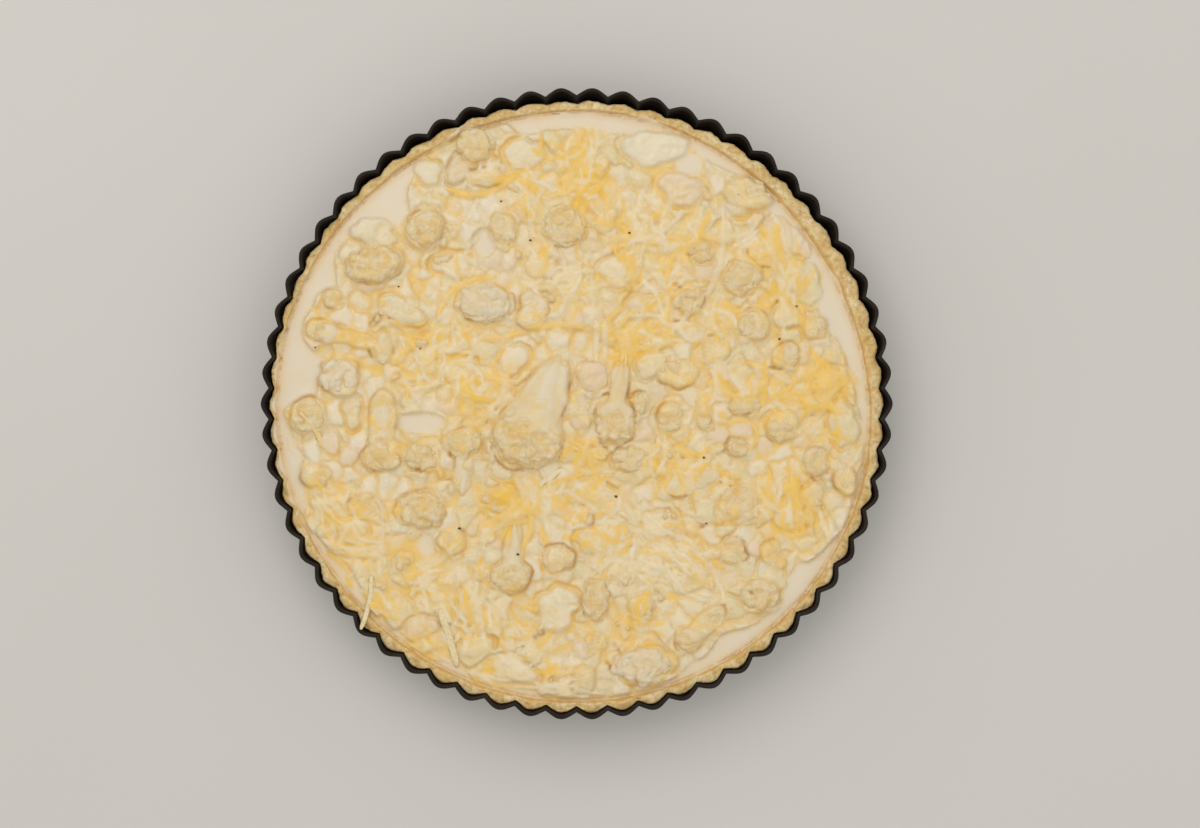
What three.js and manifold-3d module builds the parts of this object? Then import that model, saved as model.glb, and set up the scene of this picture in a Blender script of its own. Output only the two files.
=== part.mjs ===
// A cauliflower quiche in its own fluted tart tin: tin, shortcrust shell, set custard and
// the cauliflower pieces that stand out of it. Millimetres, +Z up, origin at the centre of
// the tin's underside.
import * as THREE from 'three';
import { mergeVertices } from 'three/addons/utils/BufferGeometryUtils.js';
import Module from 'manifold-3d';

const wasm = await Module();
wasm.setup();

// ---------------------------------------------------------------- driving dimensions
const TIN_HEIGHT = 28;
const TIN_RIM_RADIUS = 127.4; // mean of the flutes, at the rim
const TIN_BASE_RADIUS = 120.5; // mean of the flutes, at the floor
const TIN_WALL = 0.9;
const TIN_FLOOR = 0.9;
const FLUTES = 62;
const FLUTE_SEGMENTS = 4;
const FLUTE_SWING = 1.5; // peak or valley from the mean, at the rim
const FLUTE_SWING_AT_FLOOR = 1.1;

const GAP = 0.3; // clearance between neighbouring solids
const CRUST_TOP = 24;
const CRUST_FLOOR = 3; // thickness of the pastry under the filling
const CRUST_SIDE_LEAN = 0.2; // inner wall, radius per height
const CRUST_OUTER_LEAN = 0.12; // outer wall where it stands off the tin
const CRUST_SCALLOP = 0.7; // what is left of the flutes where it stands off the tin
const CRUST_FLUTE_SEGMENTS = 2;
// How the rim's walls and top run round: a mean, and swells of a height, a number of waves
// round and a phase in degrees.
const RIM_INSIDE = { mean: 120.3, swells: [[2, 1, 132], [0.9, 2, 67], [0.5, 3, 127], [0.6, 4, 43]] };
const RIM_SHRUNK = { mean: 124.7, swells: [[1.5, 1, 97], [0.3, 2, 65]] };
const RIM_TOP = { mean: CRUST_TOP, swells: [[0.5, 5, -33], [0.35, 13, -90]] };
const CUSTARD_LEVEL = 22.5;
const CUSTARD_SEGMENTS = 48;
const ROOT_DEPTH = 5; // how far a piece sinks below the custard's level
const LARGE_HEAD = 18; // a head this long or longer gets more sides
const LARGE_SEGMENTS = 9;
const SMALL_SEGMENTS = 7;
const LOBE_SWING = 0.07; // how far a head's lobes bulge, as a share of its radius
const STALK_DROP = 1.5; // a stalk's top below its head's
const ROOT_WIDTH = 0.88; // of a lump, as a share of its widest
const WIDEST_AT = 0.12; // share of its rise where a lump is widest
const SHOULDER_AT = 0.84; // share of its rise where its shoulder lies
const SLAB_BLUNT = 0.7; // below 1 squares the outline of a cut slab or a stalk

const TAU = Math.PI * 2;
const degrees = THREE.MathUtils.degToRad;

const pastry = { color: 0xd9b878, roughness: 0.85, metalness: 0 };
const custard = { color: 0xe0d0b0, roughness: 0.35, metalness: 0 };
const curd = { color: 0xdccba0, roughness: 0.5, metalness: 0 };
const stalk = { color: 0xddd0b4, roughness: 0.4, metalness: 0 };
const darkSteel = { color: 0x1b1816, roughness: 0.35, metalness: 0.6 };

// ---------------------------------------------------------------- mesh and solid helpers
// One closed shell: shared vertices merged, collapsed triangles at the axis dropped.
function closedShell(geometry) {
  const bare = geometry.clone();
  bare.deleteAttribute('normal');
  bare.deleteAttribute('uv');
  const merged = mergeVertices(bare, 1e-4);
  const corners = merged.index.array;
  const kept = [];
  for (let i = 0; i < corners.length; i += 3) {
    const [a, b, c] = [corners[i], corners[i + 1], corners[i + 2]];
    if (a !== b && b !== c && c !== a) kept.push(a, b, c);
  }
  merged.setIndex(kept);
  return merged;
}

function solidOf(geometry) {
  const shell = closedShell(geometry);
  return new wasm.Manifold(new wasm.Mesh({
    numProp: 3,
    vertProperties: new Float32Array(shell.attributes.position.array),
    triVerts: new Uint32Array(shell.index.array),
  }));
}

function geometryOf(solid) {
  const mesh = solid.getMesh();
  const geometry = new THREE.BufferGeometry();
  geometry.setAttribute('position', new THREE.BufferAttribute(mesh.vertProperties, 3));
  geometry.setIndex(new THREE.BufferAttribute(mesh.triVerts, 1));
  geometry.computeVertexNormals();
  return geometry;
}

// The main body of a cut piece, without the slivers that the cut leaves beside it.
function mainBody(solid) {
  const bodies = solid.decompose();
  return bodies.reduce((best, body) => (body.volume() > best.volume() ? body : best));
}

// Moves every vertex of a turned shape to radius(angle, z, r) and height(angle, z, r).
function reshape(geometry, radius, height) {
  const places = geometry.attributes.position;
  for (let i = 0; i < places.count; i += 1) {
    const [x, y, z] = [places.getX(i), places.getY(i), places.getZ(i)];
    const r = Math.hypot(x, y);
    if (r > 1e-6) {
      const angle = Math.atan2(y, x);
      const scale = radius(angle, z, r) / r;
      places.setXYZ(i, x * scale, y * scale, height(angle, z, r));
    }
  }
  return geometry;
}

// A turned solid, +Z up, from a profile of [radius, z] that starts and ends on the axis.
function turned(profile, segments) {
  const points = profile.map(([r, z]) => new THREE.Vector2(r, z));
  const geometry = new THREE.LatheGeometry(points, segments);
  geometry.rotateX(Math.PI / 2);
  return geometry;
}

// ---------------------------------------------------------------- tin
function wallRadius(z) {
  return TIN_BASE_RADIUS + (TIN_RIM_RADIUS - TIN_BASE_RADIUS) * (z / TIN_HEIGHT);
}

function fluteSwing(z) {
  return FLUTE_SWING_AT_FLOOR + (FLUTE_SWING - FLUTE_SWING_AT_FLOOR) * (z / TIN_HEIGHT);
}

function fluted(angle, z) {
  return fluteSwing(z) * Math.cos(FLUTES * angle);
}

function tinGeometry() {
  const profile = [
    [0, 0],
    [wallRadius(0), 0],
    [wallRadius(TIN_HEIGHT), TIN_HEIGHT],
    [wallRadius(TIN_HEIGHT) - TIN_WALL, TIN_HEIGHT],
    [wallRadius(TIN_FLOOR) - TIN_WALL, TIN_FLOOR],
    [0, TIN_FLOOR],
  ];
  const shape = turned(profile, FLUTES * FLUTE_SEGMENTS);
  return reshape(shape, (angle, z, r) => r + fluted(angle, z), (angle, z) => z);
}

// ---------------------------------------------------------------- crust
// The rim was pressed in by hand and shrank as it chilled: it stands off the tin on the far
// side (+Y), fills the flutes on the near side and is thinnest on the left (-X).
function runRound({ mean, swells }, angle) {
  return swells.reduce(
    (sum, [height, waves, phase]) => sum + height * Math.cos(waves * angle + degrees(phase)),
    mean,
  );
}

function crustInside(angle, z) {
  return runRound(RIM_INSIDE, angle) - (CRUST_TOP - z) * CRUST_SIDE_LEAN;
}

function crustOutside(angle, z) {
  const against = wallRadius(z) - TIN_WALL - GAP + fluted(angle, z);
  const shrunk = runRound(RIM_SHRUNK, angle) - (CRUST_TOP - z) * CRUST_OUTER_LEAN;
  return Math.min(against, shrunk + CRUST_SCALLOP * Math.cos(FLUTES * angle));
}

// The pastry shell, grown by margin where it cuts a piece that lies against it.
function crustGeometry(margin) {
  const low = TIN_FLOOR + GAP;
  const floor = low + CRUST_FLOOR + margin;
  const [outer, inner] = [122, 118]; // only tell the two walls apart for the reshaping
  const profile = [[0, low], [outer, low], [outer, CRUST_TOP], [inner, CRUST_TOP],
    [inner, floor], [0, floor]];
  return reshape(
    turned(profile, FLUTES * CRUST_FLUTE_SEGMENTS),
    (angle, z, r) => (r > (outer + inner) / 2
      ? crustOutside(angle, z) + margin
      : crustInside(angle, z) - margin),
    (angle, z) => (z === CRUST_TOP ? runRound(RIM_TOP, angle) + margin : z),
  );
}

// The body of custard inside the crust, before the cauliflower is pressed into it.
function custardGeometry() {
  const low = TIN_FLOOR + GAP + CRUST_FLOOR + GAP;
  const profile = [[0, low], [1, low], [1, CUSTARD_LEVEL], [0, CUSTARD_LEVEL]];
  return reshape(
    turned(profile, CUSTARD_SEGMENTS),
    (angle, z) => crustInside(angle, z) - GAP,
    (angle, z) => z,
  );
}

// ---------------------------------------------------------------- cauliflower
function squared(value, blunt) {
  return Math.sign(value) * Math.abs(value) ** blunt;
}

// A lump that stands in the custard: a straight root below its level, widest just above
// it, and a shoulder under the top. blunt squares its outline, lobes make it bulge, and
// flare narrows it towards +X.
function lumpGeometry({ size, top, lobes = 0, blunt = 1, shoulder, phase = 0, flare = 0 }, margin) {
  const low = CUSTARD_LEVEL - ROOT_DEPTH;
  const rise = top - CUSTARD_LEVEL;
  const profile = [[0, low - margin], [ROOT_WIDTH, low - margin],
    [1, CUSTARD_LEVEL + WIDEST_AT * rise], [shoulder, CUSTARD_LEVEL + SHOULDER_AT * rise],
    [0, top + margin]];
  const isLarge = blunt === 1 && size[0] >= LARGE_HEAD;
  const geometry = turned(profile, isLarge ? LARGE_SEGMENTS : SMALL_SEGMENTS);
  const places = geometry.attributes.position;
  for (let i = 0; i < places.count; i += 1) {
    const [x, y] = [places.getX(i), places.getY(i)];
    const angle = Math.atan2(y, x);
    const bulge = lobes > 0 ? 1 + LOBE_SWING * Math.cos(lobes * angle + phase) : 1;
    const r = Math.hypot(x, y) * bulge;
    const grow = margin / Math.max(r, 0.8);
    const along = squared(Math.cos(angle), blunt);
    const spread = 1 - flare * r * along;
    places.setX(i, r * along * (size[0] / 2 + grow));
    places.setY(i, r * squared(Math.sin(angle), blunt) * (spread * size[1] / 2 + grow));
  }
  return geometry;
}

// One cauliflower piece: a curd head, a head on its stalk, or a cut slab of stalk.
function pieceSolid(piece, margin) {
  const { at, size, turn = 0, top, lobes, stem, slab } = piece;
  const shape = slab
    ? { size, top, blunt: SLAB_BLUNT, shoulder: 0.86 }
    : { size, top, lobes, shoulder: 0.8, phase: at[0] };
  const body = lumpGeometry(shape, margin).rotateZ(degrees(turn)).translate(at[0], at[1], 0);
  if (!stem) return solidOf(body);
  const lying = { size: [stem.length, stem.width], top: top - STALK_DROP, blunt: SLAB_BLUNT,
    shoulder: 0.8, flare: stem.flare };
  const stalkBody = lumpGeometry(lying, margin)
    .translate(stem.from + stem.length / 2, 0, 0)
    .rotateZ(degrees(stem.toward))
    .translate(at[0], at[1], 0);
  return solidOf(body).add(solidOf(stalkBody));
}

// at: centre of the head or slab. size: along and across, before turn. top: highest point.
// stem: lies towards that heading, from so far off the head's centre; flare is the share by
// which it is wider at the head and narrower at the tip. Earlier pieces lie over later ones,
// which are cut back from them.
const PIECES = [
  // the middle of the quiche
  { name: 'floret_centre', at: [-20, -14], size: [34, 27], top: 31, lobes: 5,
    stem: { from: 0, length: 38, width: 23, flare: 0.5, toward: 67 } },
  { name: 'floret_centre_small', at: [15.5, -7], size: [20, 22], top: 29.5, lobes: 4,
    stem: { from: 4, length: 22, width: 10, flare: 0.1, toward: 83 } },
  { name: 'stalk_pink', slab: true, at: [6.5, 11], size: [16, 14], turn: 8, top: 26.5 },
  { name: 'stalk_pink_low', slab: true, at: [0.5, -3], size: [11, 18], turn: 4, top: 26 },
  { name: 'floret_crevice_side', at: [26, 0], size: [9, 13], top: 27, lobes: 2 },
  { name: 'floret_below_centre', at: [21, -23], size: [18, 13], top: 26.5, lobes: 3 },
  { name: 'floret_rosy', at: [42, 12], size: [20, 14], top: 26, lobes: 3 },
  { name: 'floret_mid_right', at: [38, -6], size: [14, 14], top: 26, lobes: 4 },
  { name: 'slab_mid_right', slab: true, at: [48, -31], size: [27, 11], turn: 24, top: 25.5 },
  { name: 'floret_wide_right', at: [52, -5], size: [11, 19], top: 25.5, lobes: 3 },
  { name: 'stalk_white', slab: true, at: [-18, 38], size: [14, 19], turn: -14, top: 25 },
  { name: 'floret_low_middle', at: [-30, -39], size: [20, 14], top: 26, lobes: 3 },
  // the left side, from the rim inwards
  { name: 'floret_left_rim', at: [-110, -5], size: [18, 18], top: 28, lobes: 4 },
  { name: 'floret_left_hooked', at: [-103, 29], size: [15, 12], top: 27, lobes: 3,
    stem: { from: 3, length: 20, width: 8, flare: 0.2, toward: -12 } },
  { name: 'floret_left_round', at: [-97, 11], size: [19, 18], top: 27.5, lobes: 5 },
  { name: 'floret_left_button', at: [-100, 43], size: [11, 11], top: 25.5, lobes: 3 },
  { name: 'stalk_left_upright', slab: true, at: [-79, 23], size: [9, 16], turn: 0, top: 26 },
  { name: 'floret_left_long', at: [-80, -23], size: [21, 12], top: 27.5, lobes: 3,
    stem: { from: 1, length: 30, width: 13, flare: 0.15, toward: 88 } },
  { name: 'floret_low_left_rim', at: [-107, -29], size: [16, 12], top: 25.5, lobes: 3 },
  { name: 'floret_low_left_flat', at: [-88, -42], size: [16, 14], top: 25, lobes: 3 },
  // upper left
  { name: 'floret_upper_left', at: [-83, 57], size: [29, 17], turn: 8, top: 29.5, lobes: 5 },
  { name: 'floret_upper_left_inner', at: [-62, 72], size: [19, 19], top: 28, lobes: 4 },
  { name: 'stalk_bone', slab: true, at: [-72, 38], size: [24, 11], turn: -25, top: 27 },
  { name: 'floret_twin', at: [-38, 41], size: [26, 20], turn: -6, top: 29, lobes: 2 },
  { name: 'floret_upper_split', at: [-30, 71], size: [14, 17], top: 27, lobes: 2 },
  { name: 'floret_rim_top_left', at: [-42, 106], size: [18, 18], top: 28.5, lobes: 4 },
  { name: 'slab_top_left', slab: true, at: [-37, 92], size: [18, 8], turn: 4, top: 25 },
  // top and upper right
  { name: 'floret_top_crevice', at: [-5, 72], size: [20, 20], top: 28.5, lobes: 4 },
  { name: 'floret_top_right', at: [70, 86], size: [23, 14], turn: -12, top: 26.5, lobes: 3 },
  { name: 'floret_right_lobed', at: [68, 52], size: [18, 18], top: 27.5, lobes: 4 },
  { name: 'floret_right_split', at: [51, 62], size: [14, 15], top: 26, lobes: 2 },
  { name: 'floret_right_curl', at: [46, 43], size: [16, 15], top: 26.5, lobes: 3 },
  { name: 'floret_right_bumpy', at: [72, 32], size: [17, 15], top: 27, lobes: 4 },
  { name: 'floret_right_small', at: [86, 20], size: [14, 15], top: 26, lobes: 3 },
  { name: 'floret_right_mid', at: [57, 22], size: [14, 16], top: 25.5, lobes: 3 },
  { name: 'floret_right_edge', at: [98, 31], size: [12, 13], top: 25.5, lobes: 3 },
  // the right side
  { name: 'floret_right_low', at: [70, 1], size: [17, 13], top: 26, lobes: 3 },
  { name: 'floret_right_inner', at: [84, -10], size: [16, 16], top: 27, lobes: 4 },
  { name: 'floret_right_knob', at: [66, -18], size: [12, 11], top: 26.5, lobes: 3 },
  { name: 'floret_right_outer', at: [98, -24], size: [13, 16], top: 27, lobes: 4 },
  { name: 'floret_right_rim', at: [110, -31], size: [12, 14], top: 26.5, lobes: 3 },
  { name: 'floret_low_rosy', at: [67, -41], size: [20, 19], top: 26, lobes: 4 },
  // lower right
  { name: 'floret_low_round', at: [64, -60], size: [14, 14], top: 25.5, lobes: 3 },
  { name: 'floret_low_narrow', at: [79, -61], size: [11, 14], top: 25, lobes: 2 },
  { name: 'floret_low_hook', at: [75, -78], size: [20, 16], top: 27.5, lobes: 4 },
  { name: 'floret_low_stemmed', at: [46, -96], size: [15, 12], turn: 20, top: 27, lobes: 3,
    stem: { from: 3, length: 18, width: 10, flare: 0.3, toward: 42 } },
  { name: 'floret_bottom_large', at: [27, -107], size: [28, 18], turn: 4, top: 29, lobes: 5 },
  { name: 'floret_low_middle_right', at: [27, -84], size: [14, 15], top: 26, lobes: 3 },
  { name: 'floret_low_cluster', at: [8, -80], size: [15, 21], top: 28, lobes: 5 },
  { name: 'floret_bottom_small', at: [8, -98], size: [12, 10], top: 25.5, lobes: 3 },
  { name: 'stalk_bottom', slab: true, at: [3, -113], size: [11, 15], turn: -10, top: 25.5 },
  // lower left
  { name: 'floret_mushroom', at: [-27, -71], size: [20, 17], top: 29, lobes: 3,
    stem: { from: 3, length: 21, width: 10, flare: 0.4, toward: 84 } },
  { name: 'floret_low_beside', at: [-8, -63], size: [17, 15], top: 26, lobes: 3 },
  { name: 'floret_low_left_small', at: [-51, -56], size: [14, 12], top: 26, lobes: 3 },
  { name: 'floret_low_left_large', at: [-64, -43], size: [24, 19], top: 28, lobes: 5 },
  { name: 'floret_low_left_mid', at: [-64, -22], size: [18, 14], top: 27, lobes: 4 },
  { name: 'floret_left_pair', at: [-46, -15], size: [20, 11], top: 27.5, lobes: 2,
    stem: { from: 2, length: 23, width: 9, flare: 0.3, toward: -92 } },
];

// ---------------------------------------------------------------- assembly
const RIM_REACH = 104; // pieces past this radius are cut back from the crust
const NEAR = 4; // pieces closer than this at their widest are cut from each other

function reachOf(piece) {
  const own = Math.max(...(piece.size ?? [0])) / 2;
  return piece.stem ? Math.max(own, piece.stem.from + piece.stem.length) : own;
}

function areNear(a, b) {
  const apart = Math.hypot(a.at[0] - b.at[0], a.at[1] - b.at[1]);
  return apart < reachOf(a) + reachOf(b) + NEAR;
}

function namedMesh(name, geometry, finish) {
  const mesh = new THREE.Mesh(geometry, new THREE.MeshStandardMaterial(finish));
  mesh.name = name;
  return mesh;
}

function cauliflowerMeshes() {
  const grownCrust = solidOf(crustGeometry(GAP));
  return PIECES.map((piece, index) => {
    let solid = pieceSolid(piece, 0);
    for (const earlier of PIECES.slice(0, index)) {
      if (areNear(piece, earlier)) solid = solid.subtract(pieceSolid(earlier, GAP));
    }
    if (Math.hypot(...piece.at) + reachOf(piece) > RIM_REACH) {
      solid = solid.subtract(grownCrust);
    }
    return namedMesh(piece.name, geometryOf(mainBody(solid)), piece.slab ? stalk : curd);
  });
}

function fillingGeometry() {
  let solid = solidOf(custardGeometry());
  for (const piece of PIECES) solid = solid.subtract(pieceSolid(piece, GAP));
  return geometryOf(mainBody(solid));
}

const quiche = new THREE.Group();
quiche.add(
  namedMesh('tin', closedShell(tinGeometry()), darkSteel),
  namedMesh('crust', closedShell(crustGeometry(0)), pastry),
  namedMesh('filling', fillingGeometry(), custard),
  ...cauliflowerMeshes(),
);

export default quiche;
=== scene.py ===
"""Looks of a cauliflower quiche in its fluted tart tin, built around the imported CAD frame.

The frame gives every place and size. Lengths are in metres, and MM turns millimetres to metres.
"""

import itertools
import logging
import math
import random
from collections.abc import Iterable
from dataclasses import dataclass
from enum import Enum

import bmesh
import bpy
import numpy as np
from bmesh.types import BMesh, BMEdge, BMVert
from bpy.types import Material, Mesh, NodeSocket, NodeTree, Object
from mathutils import Matrix, Vector
from mathutils.bvhtree import BVHTree
from numpy import ndarray


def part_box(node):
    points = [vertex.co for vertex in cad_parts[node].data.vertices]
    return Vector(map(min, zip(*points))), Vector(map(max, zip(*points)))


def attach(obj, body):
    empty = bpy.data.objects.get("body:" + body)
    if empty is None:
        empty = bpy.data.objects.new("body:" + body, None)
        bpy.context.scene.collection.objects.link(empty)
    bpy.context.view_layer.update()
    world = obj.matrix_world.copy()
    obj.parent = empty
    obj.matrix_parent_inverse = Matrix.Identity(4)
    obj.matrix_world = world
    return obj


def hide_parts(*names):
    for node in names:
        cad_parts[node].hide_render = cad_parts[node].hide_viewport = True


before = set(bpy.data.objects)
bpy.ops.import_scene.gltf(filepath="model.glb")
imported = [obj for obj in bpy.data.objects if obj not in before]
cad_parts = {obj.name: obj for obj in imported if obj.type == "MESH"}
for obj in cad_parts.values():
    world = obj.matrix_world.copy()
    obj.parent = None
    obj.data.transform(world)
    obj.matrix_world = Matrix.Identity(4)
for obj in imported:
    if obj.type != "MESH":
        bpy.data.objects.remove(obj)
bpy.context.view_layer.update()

MM = 0.001
BODY = "root"
FLUTES = 62
FLUTE_SHARPNESS = 0.8  # 0 for a plain wave, 1 for round peaks that meet in sharp valleys
CUSTARD_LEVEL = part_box("filling")[1].z
TIN_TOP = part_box("tin")[1].z
SKY = 80 * MM  # above everything, where rays start
LOG = logging.getLogger("quiche")

Pair = tuple[float, float]
Settings = dict[str | int, object]  # of a node: values by property, input name or input number
Links = dict[str | int, NodeSocket]  # the sockets that feed a node, by its inputs


# ---------- colours and node trees
def linear(code: str) -> tuple[float, float, float, float]:
    """Turns a colour to linear.

    Args:
        code: the colour as sRGB hex.

    Returns:
        Linear red, green and blue, and an alpha of one.
    """
    shares = [int(code[i : i + 2], 16) / 255 for i in (1, 3, 5)]
    values = [s / 12.92 if s <= 0.04045 else ((s + 0.055) / 1.055) ** 2.4 for s in shares]
    return (*values, 1.0)


def add_node(
    tree: NodeTree,
    kind: str,
    settings: Settings | None = None,
    links: Links | None = None,
    output: int | str = 0,
) -> NodeSocket | None:
    """Adds one node with its settings and links.

    Args:
        tree: the tree that the node joins.
        kind: the node's type name.
        settings: its properties and input values.
        links: what feeds its other inputs.
        output: the name or number of the output that is wanted.

    Returns:
        That output's socket, or None for a node that ends the tree.
    """
    node = tree.nodes.new(kind)
    for name, value in (settings or {}).items():
        if isinstance(name, str) and hasattr(node, name):
            setattr(node, name, value)
        else:
            node.inputs[name].default_value = value
    for name, socket in (links or {}).items():
        tree.links.new(socket, node.inputs[name])
    return node.outputs[output] if node.outputs else None


def blank_material(name: str) -> tuple[Material, NodeSocket]:
    """Starts a material with an empty tree.

    Args:
        name: the material's name.

    Returns:
        The material and the socket of its piece's own coordinates.
    """
    made = bpy.data.materials.new(name)
    made.use_nodes = True
    made.node_tree.nodes.clear()
    return made, add_node(made.node_tree, "ShaderNodeTexCoord", output="Object")


def cloudy(size_mm: float, detail: float = 2.0) -> Settings:
    """The settings of a noise whose clouds are size_mm apart."""
    return {"Scale": 1 / (size_mm * MM), "Detail": detail, "Roughness": 0.55}


def patches(
    tree: NodeTree, place: NodeSocket, cloud: Settings, start: Pair, end: Pair
) -> NodeSocket:
    """Adds clouds that swing between two values.

    Args:
        tree: the tree that the nodes join.
        place: the coordinates.
        cloud: the noise's settings.
        start: the range of the noise that is used.
        end: the values that it is turned to.

    Returns:
        The socket of the values.
    """
    noise = add_node(tree, "ShaderNodeTexNoise", cloud, {"Vector": place})
    spread = {"From Min": start[0], "From Max": start[1], "To Min": end[0], "To Max": end[1]}
    return add_node(tree, "ShaderNodeMapRange", spread, {"Value": noise})


def painted(
    tree: NodeTree, ground: str, layers: Iterable[tuple[str, NodeSocket]]
) -> NodeSocket:
    """Paints layers of colour over a ground.

    Args:
        tree: the tree that the nodes join.
        ground: the colour under all the layers.
        layers: the colour of each layer and the socket of its share from 0 to 1.

    Returns:
        The socket of the colour.
    """
    top = add_node(tree, "ShaderNodeRGB")
    top.default_value = linear(ground)
    for colour, share in layers:
        settings = {"data_type": "RGBA", 7: linear(colour)}
        top = add_node(tree, "ShaderNodeMix", settings, {0: share, 6: top}, 2)
    return top


def finish_off(tree: NodeTree, settings: Settings, links: Links) -> None:
    """Ends a tree with a shader of these settings and links."""
    shader = add_node(tree, "ShaderNodeBsdfPrincipled", settings, links)
    add_node(tree, "ShaderNodeOutputMaterial", links={"Surface": shader})


@dataclass(frozen=True)
class Stain:
    """A colour that a vertex attribute lays over a finish."""

    attribute: str
    colour: str
    strength: float


@dataclass(frozen=True)
class MoistFood:
    """A soft food surface: its own colour, cloudy patches, stains, grain and sheen."""

    name: str
    colour: str
    patch: str  # colour of the cloudy patches
    fleck: str  # colour of the finer flecks
    patch_mm: float = 5.0
    fleck_mm: float = 2.0
    patch_share: float = 0.6
    fleck_share: float = 0.35
    speck: str = "#C09A58"  # colour of the finest specks
    speck_mm: float = 1.0
    speck_share: float = 0.3
    stains: tuple[Stain, ...] = ()
    roughness: float = 0.42
    coat: float = 0.0  # film of fat or custard over the surface
    grain_mm: float = 0.9
    grain_height_mm: float = 0.06
    curd_mm: float = 0.0  # size of the buds that the bump adds, 0 for none
    curd_height_mm: float = 0.0
    curd_attribute: str = ""  # where the buds show, everywhere if empty

    def material(self) -> Material:
        """Builds the material, whose colour, roughness and bump come from nodes.

        Returns:
            The material.
        """
        made, place = blank_material(self.name)
        tree = made.node_tree
        layers = []
        for colour, size_mm, share in (
            (self.patch, self.patch_mm, self.patch_share),
            (self.fleck, self.fleck_mm, self.fleck_share),
            (self.speck, self.speck_mm, self.speck_share),
        ):
            spots = patches(tree, place, cloudy(size_mm, 3.0), (0.42, 0.64), (0, share))
            layers.append((colour, spots))
        for stain in self.stains:
            named = {"attribute_name": stain.attribute}
            spread = add_node(tree, "ShaderNodeAttribute", named, output="Fac")
            limit = {"To Max": stain.strength}
            share = add_node(tree, "ShaderNodeMapRange", limit, {"Value": spread})
            layers.append((stain.colour, share))
        swing = (self.roughness - 0.1, self.roughness + 0.1)
        sheen = patches(tree, place, cloudy(0.4 * self.patch_mm), (0.3, 0.7), swing)
        finish_off(
            tree,
            {"Coat Weight": self.coat, "Coat Roughness": 0.25, "IOR": 1.42},
            {
                "Base Color": painted(tree, self.colour, layers),
                "Roughness": sheen,
                "Normal": self._bump(tree, place),
            },
        )
        return made

    def _bump(self, tree: NodeTree, place: NodeSocket) -> NodeSocket:
        """Builds the grain, and the fine buds of a curd.

        Args:
            tree: the tree that the nodes join.
            place: the coordinates.

        Returns:
            The socket of the normal.
        """
        grain = add_node(
            tree, "ShaderNodeTexNoise", cloudy(self.grain_mm, 3.0), {"Vector": place}
        )
        reliefs = [(self.grain_height_mm, grain)]
        if self.curd_mm:
            cells = {"feature": "SMOOTH_F1", "Scale": 1 / (self.curd_mm * MM), "Smoothness": 0.35}
            away = add_node(tree, "ShaderNodeTexVoronoi", cells, {"Vector": place})
            turned = {"To Min": 1.0, "To Max": 0.0}
            height = add_node(tree, "ShaderNodeMapRange", turned, {"Value": away})
            if self.curd_attribute:
                named = {"attribute_name": self.curd_attribute}
                shown = add_node(tree, "ShaderNodeAttribute", named, output="Fac")
                product = {"operation": "MULTIPLY"}
                height = add_node(tree, "ShaderNodeMath", product, {0: height, 1: shown})
            reliefs.append((self.curd_height_mm, height))
        under = {}  # the normal that the next relief is laid over
        for height_mm, height in reliefs:
            full = {"Strength": 1.0, "Distance": height_mm * MM}
            under = {"Normal": add_node(tree, "ShaderNodeBump", full, {"Height": height, **under})}
        return under["Normal"]


@dataclass(frozen=True)
class CoatedSteel:
    """Pressed carbon steel with a sprayed, stoved non-stick coat: near black and glossy."""

    name: str = "nonstick_coated_steel"
    colour: str = "#221C17"
    dust: str = "#3A3229"  # dried fat and flour, thin over the coat
    dust_mm: float = 9.0
    roughness: float = 0.34
    peel_mm: float = 2.5  # the ripple of a sprayed coat
    peel_height_mm: float = 0.05

    def material(self) -> Material:
        """Builds the material, with a faint film of flour and an orange-peel ripple.

        Returns:
            The material.
        """
        made, place = blank_material(self.name)
        tree = made.node_tree
        film = cloudy(self.dust_mm, 4.0)
        swing = (self.roughness - 0.06, self.roughness + 0.16)
        ripple = add_node(
            tree, "ShaderNodeTexNoise", cloudy(self.peel_mm, 1.0), {"Vector": place}
        )
        peel = {"Strength": 0.35, "Distance": self.peel_height_mm * MM}
        dust = patches(tree, place, film, (0.5, 0.8), (0, 0.6))
        finish_off(
            tree,
            {"Coat Weight": 0.04, "Coat Roughness": 0.12, "IOR": 1.2},
            {
                "Base Color": painted(tree, self.colour, [(self.dust, dust)]),
                "Roughness": patches(tree, place, film, (0, 1), swing),
                "Normal": add_node(tree, "ShaderNodeBump", peel, {"Height": ripple}),
            },
        )
        return made


# Egg and cream, barely set: dense ivory, cloudy, yellow where fat has gathered.
SET_CUSTARD = MoistFood(
    name="set_egg_custard",
    colour="#DFCEA4",
    patch="#E1D4B6",
    fleck="#E3C584",
    fleck_mm=2.4,
    patch_share=0.8,
    fleck_share=0.4,
    stains=(
        Stain("sunk", "#DBCCA2", 0.6),
        Stain("white", "#E3D6BA", 0.85),
        Stain("rosy", "#DDC4A2", 0.6),
        Stain("open", "#E0D0B5", 0.95),
        Stain("fat", "#ECBC48", 1.0),
        # The last two stains are painted shade: tan where pieces meet, dark in the deep gaps.
        Stain("contact", "#D5AC60", 0.8),
        Stain("crevice", "#B07C38", 0.8),
    ),
    roughness=0.4,
    coat=0.12,
    grain_height_mm=0.07,
    curd_mm=1.7,
    curd_height_mm=0.18,
    curd_attribute="sunk",
)
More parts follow.
